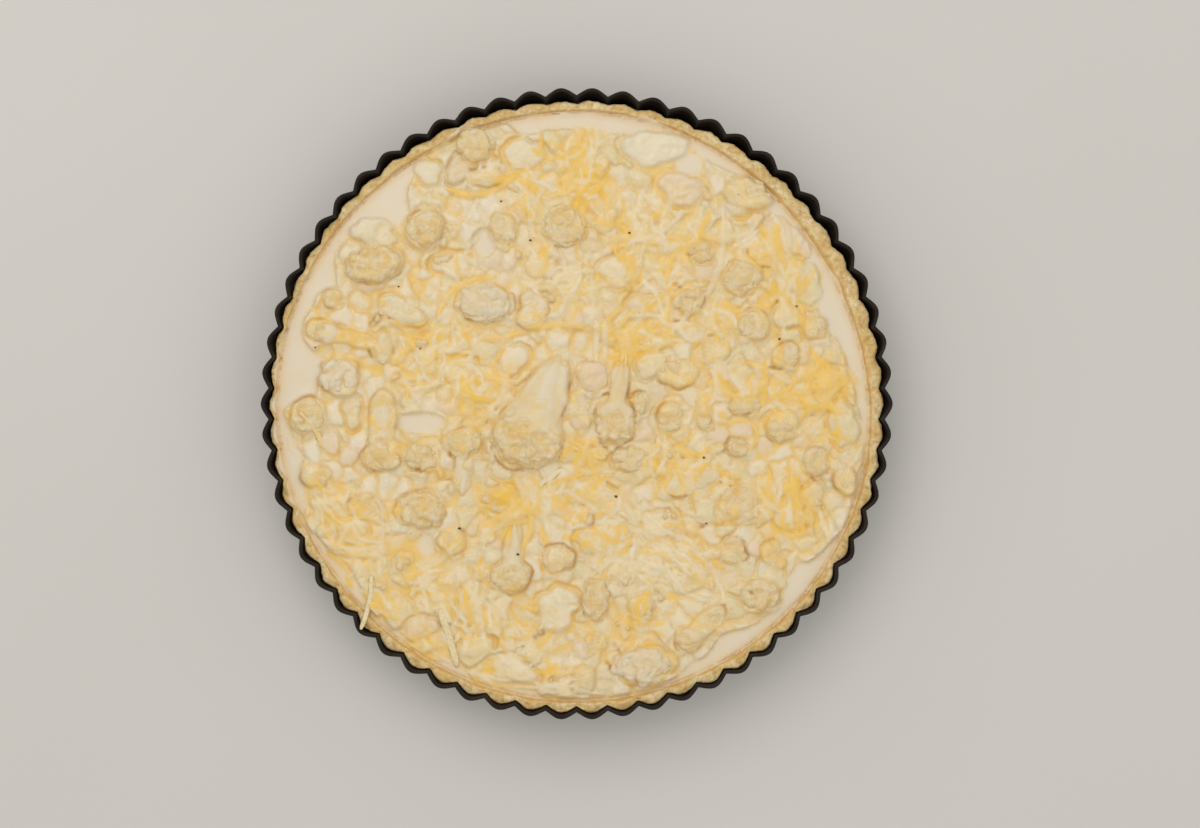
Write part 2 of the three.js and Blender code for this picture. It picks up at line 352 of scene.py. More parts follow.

# Cooked cauliflower curd: granular, cream to straw, with tan painted shade in its clefts.
CURD = MoistFood(
    name="cauliflower_curd",
    colour="#DAC79A",
    patch="#E3D8BE",
    fleck="#DEB461",
    patch_mm=4,
    fleck_mm=2.6,
    patch_share=0.9,
    fleck_share=0.55,
    stains=(
        Stain("stalk", "#DDD0B2", 0.85),
        Stain("rosy", "#DDC09C", 0.5),
        Stain("fat", "#E3B85C", 0.75),
        Stain("pale", "#DED4C0", 0.7),
        Stain("film", "#DED0AC", 0.5),
        # The next three stains are painted shade: in the curd's creases, at its waterline and in the
        # deep gaps.
        Stain("cleft", "#D9B066", 0.75),
        Stain("contact", "#DCB46A", 0.7),
        Stain("crevice", "#B07C38", 0.8),
    ),
    roughness=0.5,
    coat=0.1,
    grain_height_mm=0.11,
    curd_mm=1.6,
    curd_height_mm=0.17,
)

# Peeled stalk: smooth, moist and whiter than the curd, faintly pink where cut.
STALK = MoistFood(
    name="cauliflower_stalk",
    colour="#DBCDAA",
    patch="#E0D6BE",
    fleck="#DDBD7C",
    fleck_mm=2.5,
    patch_share=0.9,
    stains=(
        Stain("rosy", "#DDC09E", 0.75),
        Stain("fat", "#E3B85C", 0.6),
        Stain("pale", "#DCD2BE", 0.8),
        Stain("film", "#DED0AC", 0.6),
        # The next three stains are painted shade: in the stalk's creases and rib valleys, at its
        # waterline and in the deep gaps.
        Stain("cleft", "#D9B066", 0.65),
        Stain("contact", "#DCB46A", 0.7),
        Stain("crevice", "#B07C38", 0.8),
    ),
    coat=0.15,
    grain_height_mm=0.05,
)

# Grated hard yellow cheese, half melted: waxy, with a sheen of its own fat.
DEEP_CHEESE = MoistFood(
    name="grated_cheese_deep",
    colour="#EAC672",
    patch="#EBD090",
    fleck="#E9BC58",
    stains=(Stain("film", "#E8D5A6", 0.8),),
    coat=0.15,
    grain_mm=1.0,
)

# The same cheese where the custard coats it: cream rather than yellow.
PALE_CHEESE = MoistFood(
    name="grated_cheese_pale",
    colour="#E3D3A4",
    patch="#E5D8B2",
    fleck="#E4C688",
    stains=(Stain("film", "#E9DABA", 0.8),),
    coat=0.15,
    grain_mm=1.0,
)

# Shortcrust, rolled, trimmed with a knife and lightly baked: dry, sandy and crumbly.
SHORTCRUST = MoistFood(
    name="baked_shortcrust",
    colour="#DCBE80",
    patch="#E9D7A9",
    fleck="#C4964C",
    patch_mm=9,
    fleck_mm=2.2,
    patch_share=0.9,
    fleck_share=0.6,
    # Painted shade darkens the crust's hollows; the inner slope's tan is partly painted shade and
    # partly browning.
    stains=(Stain("cleft", "#A87634", 0.9), Stain("inner", "#CF9F55", 0.8)),
    roughness=0.8,
    grain_mm=0.8,
    grain_height_mm=0.22,
)

# Coarsely cracked black peppercorn: dark, matt and brown where it broke.
PEPPER = MoistFood(
    name="cracked_black_pepper",
    colour="#2A2019",
    patch="#4A3A2A",
    fleck="#17110D",
    patch_mm=0.8,
    fleck_mm=0.4,
    roughness=0.6,
    grain_mm=0.4,
)


# ---------- noise
def hashed(cells: ndarray, salt: int) -> ndarray:
    """Gives each cell its own repeatable number.

    Args:
        cells: rows of three integers.
        salt: picks another set of numbers.

    Returns:
        One number from 0 to 1 for each row.
    """
    mixed = cells[..., 0] * 73856093 ^ cells[..., 1] * 19349663 ^ cells[..., 2] * 83492791
    mixed = (mixed + salt * 2654435761) & 0xFFFFFFFF
    mixed = ((mixed ^ (mixed >> 15)) * 2246822519) & 0xFFFFFFFF
    mixed = ((mixed ^ (mixed >> 13)) * 3266489917) & 0xFFFFFFFF
    return (mixed ^ (mixed >> 16)) / 0xFFFFFFFF


def waves(points: ndarray, size: float, salt: int = 0, octaves: int = 1) -> ndarray:
    """Smooth noise.

    Args:
        points: rows of x, y, z in metres.
        size: distance between waves in metres.
        salt: picks another pattern.
        octaves: how many finer layers there are, each half as strong as the last.

    Returns:
        One number from -1 to 1 for each row.
    """
    total, weights = np.zeros(len(points)), 0.0
    for octave in range(octaves):
        place = points / size * 2**octave + 0.37
        base = np.floor(place).astype(np.int64)
        share = place - base
        share = share**2 * (3 - 2 * share)
        for corner in itertools.product((0, 1), repeat=3):
            pull = np.where(np.array(corner) == 1, share, 1 - share).prod(-1)
            total += 0.5**octave * pull * (2 * hashed(base + np.array(corner), salt + octave) - 1)
        weights += 0.5**octave
    return total / weights


def strayed(points: ndarray, size: float, reach: float, salt: int = 0) -> ndarray:
    """Shifts each point by smooth noise, so that a pattern read there is less regular.

    Args:
        points: rows of x, y, z in metres.
        size: distance between waves in metres.
        reach: the largest shift along each axis in metres.
        salt: picks another pattern.

    Returns:
        The shifted points.
    """
    shift = [waves(points, size, salt + axis, 2) for axis in range(3)]
    return points + reach * np.column_stack(shift)


def buds(points: ndarray, size: float, salt: int = 0, flat: bool = False) -> tuple[ndarray, ...]:
    """Cells round scattered seeds, like the buds of a curd.

    Args:
        points: rows of x, y, z in metres.
        size: mean distance between seeds in metres.
        salt: picks another pattern.
        flat: True if every point has the same height.

    Returns:
        The distances to the nearest seed and to the next, as shares of size, and the nearest
        seed's own random number.
    """
    place = points / size
    base = np.floor(place).astype(np.int64)
    first = np.full(len(points), 9.0)
    second, own = first.copy(), np.zeros(len(points))
    steps = (-1, 0, 1)
    for offset in itertools.product(steps, steps, (0,) if flat else steps):
        cell = base + np.array(offset)
        jitter = np.stack([hashed(cell, salt + k) for k in range(3)], -1)
        if flat:
            jitter[:, 2] = place[:, 2] - cell[:, 2]
        gap = np.linalg.norm(place - cell - jitter, axis=1)
        closer = gap < first
        second = np.where(closer, first, np.minimum(second, gap))
        own = np.where(closer, hashed(cell, salt + 3), own)
        first = np.where(closer, gap, first)
    return first, second, own


def puffs(points: ndarray, size: float, salt: int = 0) -> tuple[ndarray, ndarray]:
    """Uneven round bumps of three sizes that meet in thin creases, like the top of a curd.

    Args:
        points: rows of x, y, z in metres.
        size: width of the largest bumps in metres.
        salt: picks another pattern.

    Returns:
        The bumps' height, about zero on average, and how far each point lies in a crease.
    """
    moved = strayed(points, 0.8 * size, 0.3 * size, salt + 40)
    bumps = [np.abs(waves(moved, size / 2**layer, salt + layer)) for layer in range(3)]
    height = sum(0.55**layer * (bump - 0.3) for layer, bump in enumerate(bumps))
    creases = [strength * (1 - bump / 0.1) for strength, bump in zip((1, 0.8, 0.4), bumps)]
    return height, np.clip(np.maximum.reduce(creases), 0, 1)


def eased(values: ndarray) -> ndarray:
    """Limits values to 0 to 1, with soft ends."""
    limited = np.clip(values, 0, 1)
    return limited**2 * (3 - 2 * limited)


def smoothed(values: ndarray, rounds: int) -> ndarray:
    """Averages rows with their neighbours, in place, and keeps the ends.

    Args:
        values: the rows.
        rounds: how often they are averaged.

    Returns:
        The same rows.
    """
    for _ in range(rounds):
        values[1:-1] = 0.25 * values[:-2] + 0.5 * values[1:-1] + 0.25 * values[2:]
    return values


def polar(points: ndarray) -> tuple[ndarray, ndarray]:
    """Each row's distance from the tin's axis and its angle round it."""
    return np.hypot(points[:, 0], points[:, 1]), np.arctan2(points[:, 1], points[:, 0])


# ---------- mesh helpers
def as_object(name: str, bm: BMesh, finish: Material) -> Object:
    """Turns a bmesh into a smooth-shaded object at the origin, and frees the bmesh.

    Args:
        name: the piece's name.
        bm: the shape, in metres.
        finish: the piece's material.

    Returns:
        The object, linked to the scene.
    """
    mesh = bpy.data.meshes.new(name)
    bm.to_mesh(mesh)
    bm.free()
    made = bpy.data.objects.new(name, mesh)
    bpy.context.scene.collection.objects.link(made)
    mesh.materials.append(finish)
    mesh.shade_smooth()
    return made


def rows_of(items: bpy.types.bpy_prop_collection, name: str) -> ndarray:
    """Reads a property of three numbers from each item.

    Args:
        items: the vertices or normals.
        name: the property's name.

    Returns:
        One row for each item.
    """
    values = np.empty(len(items) * 3, np.float32)
    items.foreach_get(name, values)
    return values.reshape(-1, 3).astype(float)


def points_of(mesh: Mesh) -> ndarray:
    """Reads a mesh's vertex places as rows of x, y, z."""
    return rows_of(mesh.vertices, "co")


def normals_of(mesh: Mesh) -> ndarray:
    """Reads a mesh's vertex normals as rows of x, y, z."""
    return rows_of(mesh.vertex_normals, "vector")


def put_points(mesh: Mesh, points: ndarray) -> None:
    """Writes rows of x, y, z back to a mesh's vertices."""
    mesh.vertices.foreach_set("co", points.astype(np.float32).ravel())
    mesh.update()


def put_stains(mesh: Mesh, **stains: ndarray | float) -> None:
    """Stores each stain as an attribute of one number per vertex, limited to 0 to 1.

    Args:
        mesh: the surface.
        stains: one number per vertex, or one for all of them, by the stain's name.
    """
    for name, values in stains.items():
        limited = np.full(len(mesh.vertices), np.clip(values, 0, 1), np.float32)
        mesh.attributes.new(name, "FLOAT", "POINT").data.foreach_set("value", limited)


def hollowness(mesh: Mesh, rounds: int, depth: float) -> ndarray:
    """How deep each vertex lies below its neighbourhood.

    Args:
        mesh: the surface.
        rounds: how far the neighbourhood goes, in rounds of averaging along edges.
        depth: the depth in metres that counts as one.

    Returns:
        One number per vertex, positive in clefts.
    """
    pairs = np.empty(len(mesh.edges) * 2, np.int32)
    mesh.edges.foreach_get("vertices", pairs)
    first, second = pairs.reshape(-1, 2).T
    points = points_of(mesh)
    count = np.maximum(np.bincount(pairs, minlength=len(points)), 1)
    mean = points.copy()
    for _ in range(rounds):
        total = np.empty_like(mean)
        for axis in range(3):
            total[:, axis] = np.bincount(first, mean[second, axis], len(points))
            total[:, axis] += np.bincount(second, mean[first, axis], len(points))
        mean = 0.5 * mean + 0.5 * total / count[:, None]
    return np.einsum("ij,ij->i", mean - points, normals_of(mesh)) / depth


def apply_modifiers(made: Object) -> None:
    """Replaces an object's mesh with what its modifiers make of it.

    Args:
        made: the object, which keeps its material.
    """
    finish = made.data.materials[0]
    shown = made.evaluated_get(bpy.context.evaluated_depsgraph_get())
    mesh = bpy.data.meshes.new_from_object(shown)
    made.modifiers.clear()
    made.data = mesh
    mesh.materials.clear()
    mesh.materials.append(finish)
    mesh.shade_smooth()


def join_skin(made: Object, voxel: float, rounds: int) -> None:
    """Joins a piece's overlapping lumps into one skin and softens it.

    Args:
        made: the object, whose mesh is replaced.
        voxel: the skin's cell size in metres.
        rounds: rounds of smoothing.
    """
    skin = made.modifiers.new("skin", "REMESH")
    skin.mode = "VOXEL"
    skin.voxel_size = voxel
    soften = made.modifiers.new("soften", "SMOOTH")
    soften.factor = 0.5
    soften.iterations = rounds
    apply_modifiers(made)


def add_ball(bm: BMesh, place: Iterable[float], sizes: Iterable[float], detail: int) -> None:
    """Adds a round lump with its own half sizes along X, Y and Z."""
    where = Matrix.Translation(Vector(place)) @ Matrix.Diagonal((*sizes, 1.0))
    bmesh.ops.create_icosphere(bm, subdivisions=detail, radius=1.0, matrix=where)


# ---------- rings of the frame
class Edge(Enum):
    """Which edge of a ring-shaped CAD node is read."""

    TOP_OUTER = "top outer"
    TOP_INNER = "top inner"
    FOOT_OUTER = "foot outer"


@dataclass
class Ring:
    """A fluted ring's radius round the tin, read from one edge of a CAD node.

    The CAD edge has a vertex at every peak and valley of the flutes. mean runs through the
    middle of the flutes and swing is half their depth.
    """

    node: str
    edge: Edge
    band: float = 0.1  # share of the node's height that counts as its top
    hub: float = 20 * MM  # vertices nearer the axis than this are not on an edge

    def __post_init__(self) -> None:
        """Reads the edge from the frame."""
        points = points_of(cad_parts[self.node].data)
        low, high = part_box(self.node)
        band = self.band * (high.z - low.z)
        if self.edge is Edge.FOOT_OUTER:
            points = points[points[:, 2] <= low.z + 0.2 * band]
        else:
            points = points[points[:, 2] >= high.z - band]
        radius, angle = polar(points)
        count = 2 * FLUTES
        steps = angle / math.tau * count
        index = np.rint(steps).astype(int) % count
        index[(np.abs(steps - np.rint(steps)) > 0.1) | (radius < self.hub)] = -1
        pick = np.min if self.edge is Edge.TOP_INNER else np.max
        read = np.array([pick(radius[index == i]) for i in range(count)])
        self.angles = np.arange(count) / count * math.tau
        self.mean = (2 * read + np.roll(read, -1) + np.roll(read, 1)) / 4
        self.swing = np.where(np.arange(count) % 2 == 0, 1.0, -1.0) * (read - self.mean)

    def mean_at(self, angle: ndarray) -> ndarray:
        """The ring's radius without its flutes at each angle."""
        return np.interp(angle % math.tau, self.angles, self.mean, period=math.tau)

    def swing_at(self, angle: ndarray) -> ndarray:
        """Half the flutes' depth at each angle."""
        return np.interp(angle % math.tau, self.angles, self.swing, period=math.tau)


@dataclass
class FlutedSide:
    """The fluted outer side of a CAD node."""

    node: str

    def __post_init__(self) -> None:
        """Reads both ends of the side from the frame."""
        self.foot, self.top = Ring(self.node, Edge.FOOT_OUTER), Ring(self.node, Edge.TOP_OUTER)

    def mean(self, angle: ndarray, rise: ndarray) -> ndarray:
        """The radius without flutes at each angle, and at each share of the height."""
        return self.foot.mean_at(angle) * (1 - rise) + self.top.mean_at(angle) * rise

    def flutes(self, angle: ndarray, rise: ndarray) -> ndarray:
        """How far the flutes stand out or in.

        Args:
            angle: one angle for each place.
            rise: each place's share of the height.

        Returns:
            One length for each place, in metres.
        """
        swing = self.foot.swing_at(angle) * (1 - rise) + self.top.swing_at(angle) * rise
        round_wave = np.cos(FLUTES * angle)
        sharp_wave = 2 * np.abs(np.cos(FLUTES * angle / 2)) - 1
        return swing * ((1 - FLUTE_SHARPNESS) * round_wave + FLUTE_SHARPNESS * sharp_wave)

    def radius(self, angle: ndarray, height: ndarray) -> ndarray:
        """The radius with flutes at each angle and height of a side that starts at 0."""
        rise = np.clip(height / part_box(self.node)[1].z, 0, 1)
        return self.mean(angle, rise) + self.flutes(angle, rise)


def spun(profile: list[Pair], steps: int) -> BMesh:
    """Spins a profile of (radius, height) that starts and ends on the Z axis into a solid.

    Args:
        profile: corners in order.
        steps: how many times the profile is repeated in the full turn.

    Returns:
        The spun shape with its faces outwards.
    """
    bm = bmesh.new()
    corners = [bm.verts.new((r, 0, z)) for r, z in profile]
    edges = [bm.edges.new(pair) for pair in zip(corners, corners[1:])]
    turn = {"cent": (0, 0, 0), "axis": (0, 0, 1), "angle": math.tau, "steps": steps}
    bmesh.ops.spin(bm, geom=corners + edges, use_merge=True, **turn)
    bmesh.ops.remove_doubles(bm, verts=bm.verts, dist=1e-6)
    bmesh.ops.recalc_face_normals(bm, faces=bm.faces)
    return bm


def arc(centre: Pair, radius: float, start: float, end: float, steps: int) -> list[Pair]:
    """Points on an arc, with start and end in degrees."""
    turns = [math.radians(start + (end - start) * i / steps) for i in range(steps + 1)]
    return [(centre[0] + radius * math.cos(t), centre[1] + radius * math.sin(t)) for t in turns]


# ---------- the tin
@dataclass
class FlutedTin:
    """The tart tin: pressed sheet, fluted wall and a rim with a narrow rolled lip."""

    wall: float = 0.8 * MM
    lip: float = 0.75 * MM
    heel: float = 1.6 * MM  # radius of the edge between floor and wall
    steps_per_flute: int = 12
    wall_rows: int = 8
    flat_share: float = 0.9  # of the floor's radius, inside which there are no flutes

    def build(self) -> Object:
        """Makes the tin.

        Returns:
            The tin, which stands for its CAD node.
        """
        side = FlutedSide("tin")
        floor_radius, rim_radius = float(side.foot.mean.mean()), float(side.top.mean.mean())
        lean = (rim_radius - floor_radius) / TIN_TOP
        heights = [TIN_TOP * i / self.wall_rows for i in range(1, self.wall_rows)]
        outer = [(0.0, 0.0), (floor_radius - self.heel, 0.0)]
        outer += arc((floor_radius - self.heel, self.heel), self.heel, -75, -10, 4)
        outer += [(floor_radius + lean * z, z) for z in heights]
        bead = arc((rim_radius - self.lip, TIN_TOP - self.lip), self.lip, -40, 200, 8)
        inner = [
            (r - self.wall, z + (self.wall if z < self.heel else 0.0))
            for r, z in reversed(outer[1:])
        ]
        bm = spun(outer + bead + inner + [(0.0, self.wall)], FLUTES * self.steps_per_flute)
        made = as_object("fluted_tart_tin", bm, CoatedSteel().material())
        points = points_of(made.data)
        radius, angle = polar(points)
        past_flat = radius - self.flat_share * floor_radius
        on_wall = np.clip(past_flat / (0.09 * floor_radius), 0, 1)
        flutes = side.flutes(angle, np.clip(points[:, 2] / TIN_TOP, 0, 1))
        scale = 1 + on_wall**3 * flutes / np.maximum(radius, 1e-9)
        points[:, :2] *= scale[:, None]
        put_points(made.data, points)
        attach(made, BODY)
        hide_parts("tin")
        return made


# ---------- the crust
@dataclass
class PastryShell:
    """The shortcrust shell: knife-trimmed rim, ragged where it broke from the flutes."""

    steps_per_flute: int = 20
    ragged: float = 0.7 * MM
    crumb: float = 0.5 * MM
    tuck: float = 0.25 * MM  # how much nearer the tin the dough lies than its CAD solid
    clearance: float = 1.1 * MM  # of the dough from the tin's outside
    rim_rows: int = 16
    wall_rows: int = 8
    floor_thickness: float = 3 * MM
    rise: float = 1.9 * MM  # of the rim over the custard
    slope_share: float = 0.34  # of the rim's width that slopes down to the custard
    slope_drop: float = 0.5 * MM  # how far under the custard the slope ends
    lean: float = 0.2  # of the inner wall, in metres inwards per metre down
    edge_round: float = 0.6 * MM  # how far the rim's edges are worn down
    pattern_radius: float = 120 * MM  # where the patterns that run round the rim are read

    def build(self) -> Object:
        """Makes the crust.

        Returns:
            The crust, which stands for its CAD node.
        """
        low, top_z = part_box("crust")[0].z, CUSTARD_LEVEL + self.rise
        side, inner = FlutedSide("crust"), Ring("crust", Edge.TOP_INNER)
        bm = spun(self._profile(low, top_z), FLUTES * self.steps_per_flute)
        made = as_object("shortcrust_shell", bm, SHORTCRUST.material())
        points = points_of(made.data)
        code, angle = polar(points)
        share = np.clip(code - 1, 0, 1)  # 0 at the inner wall, 1 at the outer
        rise = np.clip((points[:, 2] - low) / (top_z - low), 0, 1)
        on_rim = rise**6  # 1 at the top, and almost 0 a little below it
        way = np.column_stack([np.cos(angle), np.sin(angle), np.zeros(len(angle))])
        rim_line = way * self.pattern_radius
        outside = side.mean(angle, rise) + side.flutes(angle, rise) + self.tuck
        inside = inner.mean_at(angle) - (CUSTARD_LEVEL - points[:, 2]).clip(0) * self.lean
        inside += 0.6 * MM * waves(rim_line, 7 * MM, 15, 2)
        radius = np.where(code >= 1, inside + (outside - inside) * share, code * inside)
        points[:, :2] = way[:, :2] * radius[:, None]
        points += way * (self.ragged * waves(rim_line, 4 * MM, 5, 3) * on_rim * share)[:, None]
        slope = eased(1 - share / (self.slope_share + 0.12 * waves(rim_line, 9 * MM, 19, 2)))
        points[:, 2] -= (self.rise + self.slope_drop) * slope * (code >= 1) * (rise > 0.9)
        swell = 0.7 * waves(rim_line, 14 * MM, 9) + 0.9 * waves(points, 5 * MM, 17, 2)
        points[:, 2] += MM * swell * on_rim * share**0.5
        seen = np.clip((rise - 0.55) / 0.3, 0, 1)
        near, _, own = buds(strayed(points, 3 * MM, 1 * MM, 2), 3 * MM, 6)
        crumbs = 1.5 * (0.4 - near**2) * (0.3 + 1.2 * own) + 0.6 * waves(points, 1.4 * MM, 3, 2)
        points += normals_of(made.data) * (self.crumb * crumbs * seen)[:, None]
        limit = FlutedSide("tin").radius(angle, points[:, 2]) - self.clearance
        points[:, :2] *= np.minimum(1, limit / np.maximum(polar(points)[0], 1 * MM))[:, None]
        put_points(made.data, points)
        # The inner slope down to the custard is darkened, partly as painted shade and partly as
        # browning; the hollows get painted shade.
        inner = eased(2.2 * slope) * (0.7 + 0.5 * waves(points, 5 * MM, 21, 2)) * (rise > 0.5)
        put_stains(made.data, cleft=hollowness(made.data, 5, 0.3 * MM), inner=inner)
        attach(made, BODY)
        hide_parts("crust")
        return made

    def _profile(self, low: float, top_z: float) -> list[Pair]:
        """The section, with 1 for the inner wall's radius and 2 for the outer wall's.

        Args:
            low: the underside's height.
            top_z: the rim's height.

        Returns:
            Corners of (coded radius, height), on the axis at both ends.
        """
        floor_z, edge_z = low + self.floor_thickness, CUSTARD_LEVEL - self.edge_round
        outside = [(2.0, low + (top_z - low) * i / self.wall_rows) for i in range(self.wall_rows)]
        rim = [
            (2 - i / self.rim_rows, top_z - self.edge_round * max(0, 1 - 5 * i / self.rim_rows) ** 2)
            for i in range(self.rim_rows + 1)
        ]
        inside = [
            (1.0, edge_z - (edge_z - floor_z) * (i / self.wall_rows) ** 1.4)
            for i in range(1, self.wall_rows + 1)
        ]
        return [(0.0, low)] + outside + rim + inside + [(0.0, floor_z)]


# ---------- the surface map
@dataclass
class TopMap:
    """A square grid over the top of the quiche, for heights and stains."""

    reach: float = 126 * MM  # half the grid's side
    step: float = 0.4 * MM

    def __post_init__(self) -> None:
        """Lays out the grid."""
        self.axis = np.arange(-self.reach, self.reach, self.step)
        self.x, self.y = np.meshgrid(self.axis, self.axis, indexing="ij")
        self.cells = np.column_stack([self.x.ravel(), self.y.ravel(), np.zeros(self.x.size)])
        self.radius, self.angle = (part.reshape(self.x.shape) for part in polar(self.cells))

    def waves(self, size: float, salt: int, octaves: int = 1) -> ndarray:
        """Smooth noise from -1 to 1 in every cell."""
        return waves(self.cells, size, salt, octaves).reshape(self.x.shape)

    def buds(self, size: float, salt: int, warp: float) -> list[ndarray]:
        """Cells round scattered seeds.

        Args:
            size: mean distance between seeds in metres.
            salt: picks another pattern.
            warp: how far the cells' outlines stray, in metres.

        Returns:
            The distances to the nearest seed and to the next, and the nearest one's number.
        """
        moved = strayed(self.cells, 0.6 * size, warp, salt + 5)
        moved = strayed(moved, 0.2 * size, 0.25 * warp, salt + 9)
        moved[:, 2] = 0
        return [part.reshape(self.x.shape) for part in buds(moved, size, salt, flat=True)]

    def puffs(self, size: float, salt: int) -> list[ndarray]:
        """Uneven round bumps that meet in creases: their height and their creases."""
        return [part.reshape(self.x.shape) for part in puffs(self.cells, size, salt)]

    def blur(self, values: ndarray, spread: float) -> ndarray:
        """Spreads values over their surroundings.

        Args:
            values: one number per cell.
            spread: the standard deviation in metres.

        Returns:
            The blurred numbers.
        """
        taps = int(3 * spread / self.step) + 1
        weights = np.exp(-0.5 * (np.arange(-taps, taps + 1) * self.step / spread) ** 2)
        weights /= weights.sum()
        count = len(self.axis)
        for _ in range(2):
            padded = np.pad(values, ((taps, taps), (0, 0)), "edge")
            values = sum(w * padded[i : i + count] for i, w in enumerate(weights)).T
        return values

    def at(self, values: ndarray, x: ndarray, y: ndarray) -> ndarray:
        """Reads values between cells.

        Args:
            values: one number per cell.
            x: places along X in metres.
            y: places along Y in metres.

        Returns:
            One number per place.
        """
        last = len(self.axis) - 1.001
        u, v = (np.clip((np.asarray(w) + self.reach) / self.step, 0, last) for w in (x, y))
        i, j = u.astype(int), v.astype(int)
        fu, fv = u - i, v - j
        near = values[i, j] * (1 - fv) + values[i, j + 1] * fv
        far = values[i + 1, j] * (1 - fv) + values[i + 1, j + 1] * fv
        return near * (1 - fu) + far * fu

    def window(self, places: ndarray, margin: float) -> tuple[slice, slice]:
        """The cells round some places.

        Args:
            places: rows of x, y in metres.
            margin: how far past the places the window goes, in metres.

        Returns:
            The rows and columns.
        """
        low = np.floor((places.min(0) - margin + self.reach) / self.step).astype(int)
        high = np.ceil((places.max(0) + margin + self.reach) / self.step).astype(int) + 1
        low, high = np.clip(low, 0, len(self.axis)), np.clip(high, 0, len(self.axis))
        return slice(low[0], high[0]), slice(low[1], high[1])

    def beside(self, route: ndarray, margin: float) -> tuple[tuple[slice, slice], ndarray, ndarray]:
        """The cells beside a route.

        Args:
            route: rows of x, y in metres, closely spaced.
            margin: how far past the route the cells go, in metres.

        Returns:
            Their window, the row of the route that each is nearest to, and the distance to it.
        """
        part = self.window(route, margin)
        away = np.hypot(
            self.x[part][..., None] - route[:, 0], self.y[part][..., None] - route[:, 1]
        )
        return part, away.argmin(-1), away.min(-1)

    def heights_of(self, pieces: list[Object], below: float, zone: ndarray) -> ndarray:
        """The upper surface of some pieces.

        Args:
            pieces: mesh objects at the origin.
            below: the height given where no piece lies.
            zone: True in the cells that are looked at.

        Returns:
            One height per cell.
        """
        bm = bmesh.new()
        for piece in pieces:
            bm.from_mesh(piece.data)
        tree = BVHTree.FromBMesh(bm)
        bm.free()
        found = np.full(self.x.shape, below)
        down = Vector((0, 0, -1))
        for i, j in zip(*np.nonzero(zone)):
            hit = tree.ray_cast(Vector((self.x[i, j], self.y[i, j], SKY)), down)[0]
            if hit is not None:
                found[i, j] = max(hit.z, below)
        return found


# ---------- cauliflower
@dataclass(frozen=True)
class Growth:
    """What the frame can't tell of a cauliflower piece."""

    heading: float | None = None  # where the stalk points, in degrees; None without one
    fan: float = 0.4  # where the stalk starts, as a share of the head's depth past its middle
    rosy: float = 0.0
    pale: float = 0.0


GROWTHS = {
    "floret_centre": Growth(67, 0.25),
    "floret_centre_small": Growth(83, 0.55),
    "floret_left_hooked": Growth(-12),
    "floret_left_long": Growth(88),
    "floret_low_stemmed": Growth(42),
    "floret_mushroom": Growth(84),
    "floret_left_pair": Growth(-92),
    "stalk_pink": Growth(rosy=1.0),
    "stalk_pink_low": Growth(rosy=0.7),
    "floret_rosy": Growth(rosy=0.8),
    "floret_low_rosy": Growth(rosy=0.8),
    "floret_left_round": Growth(pale=0.8),
    "floret_twin": Growth(pale=0.6),
    "floret_bottom_large": Growth(pale=0.6),
    "stalk_white": Growth(pale=0.9),
}


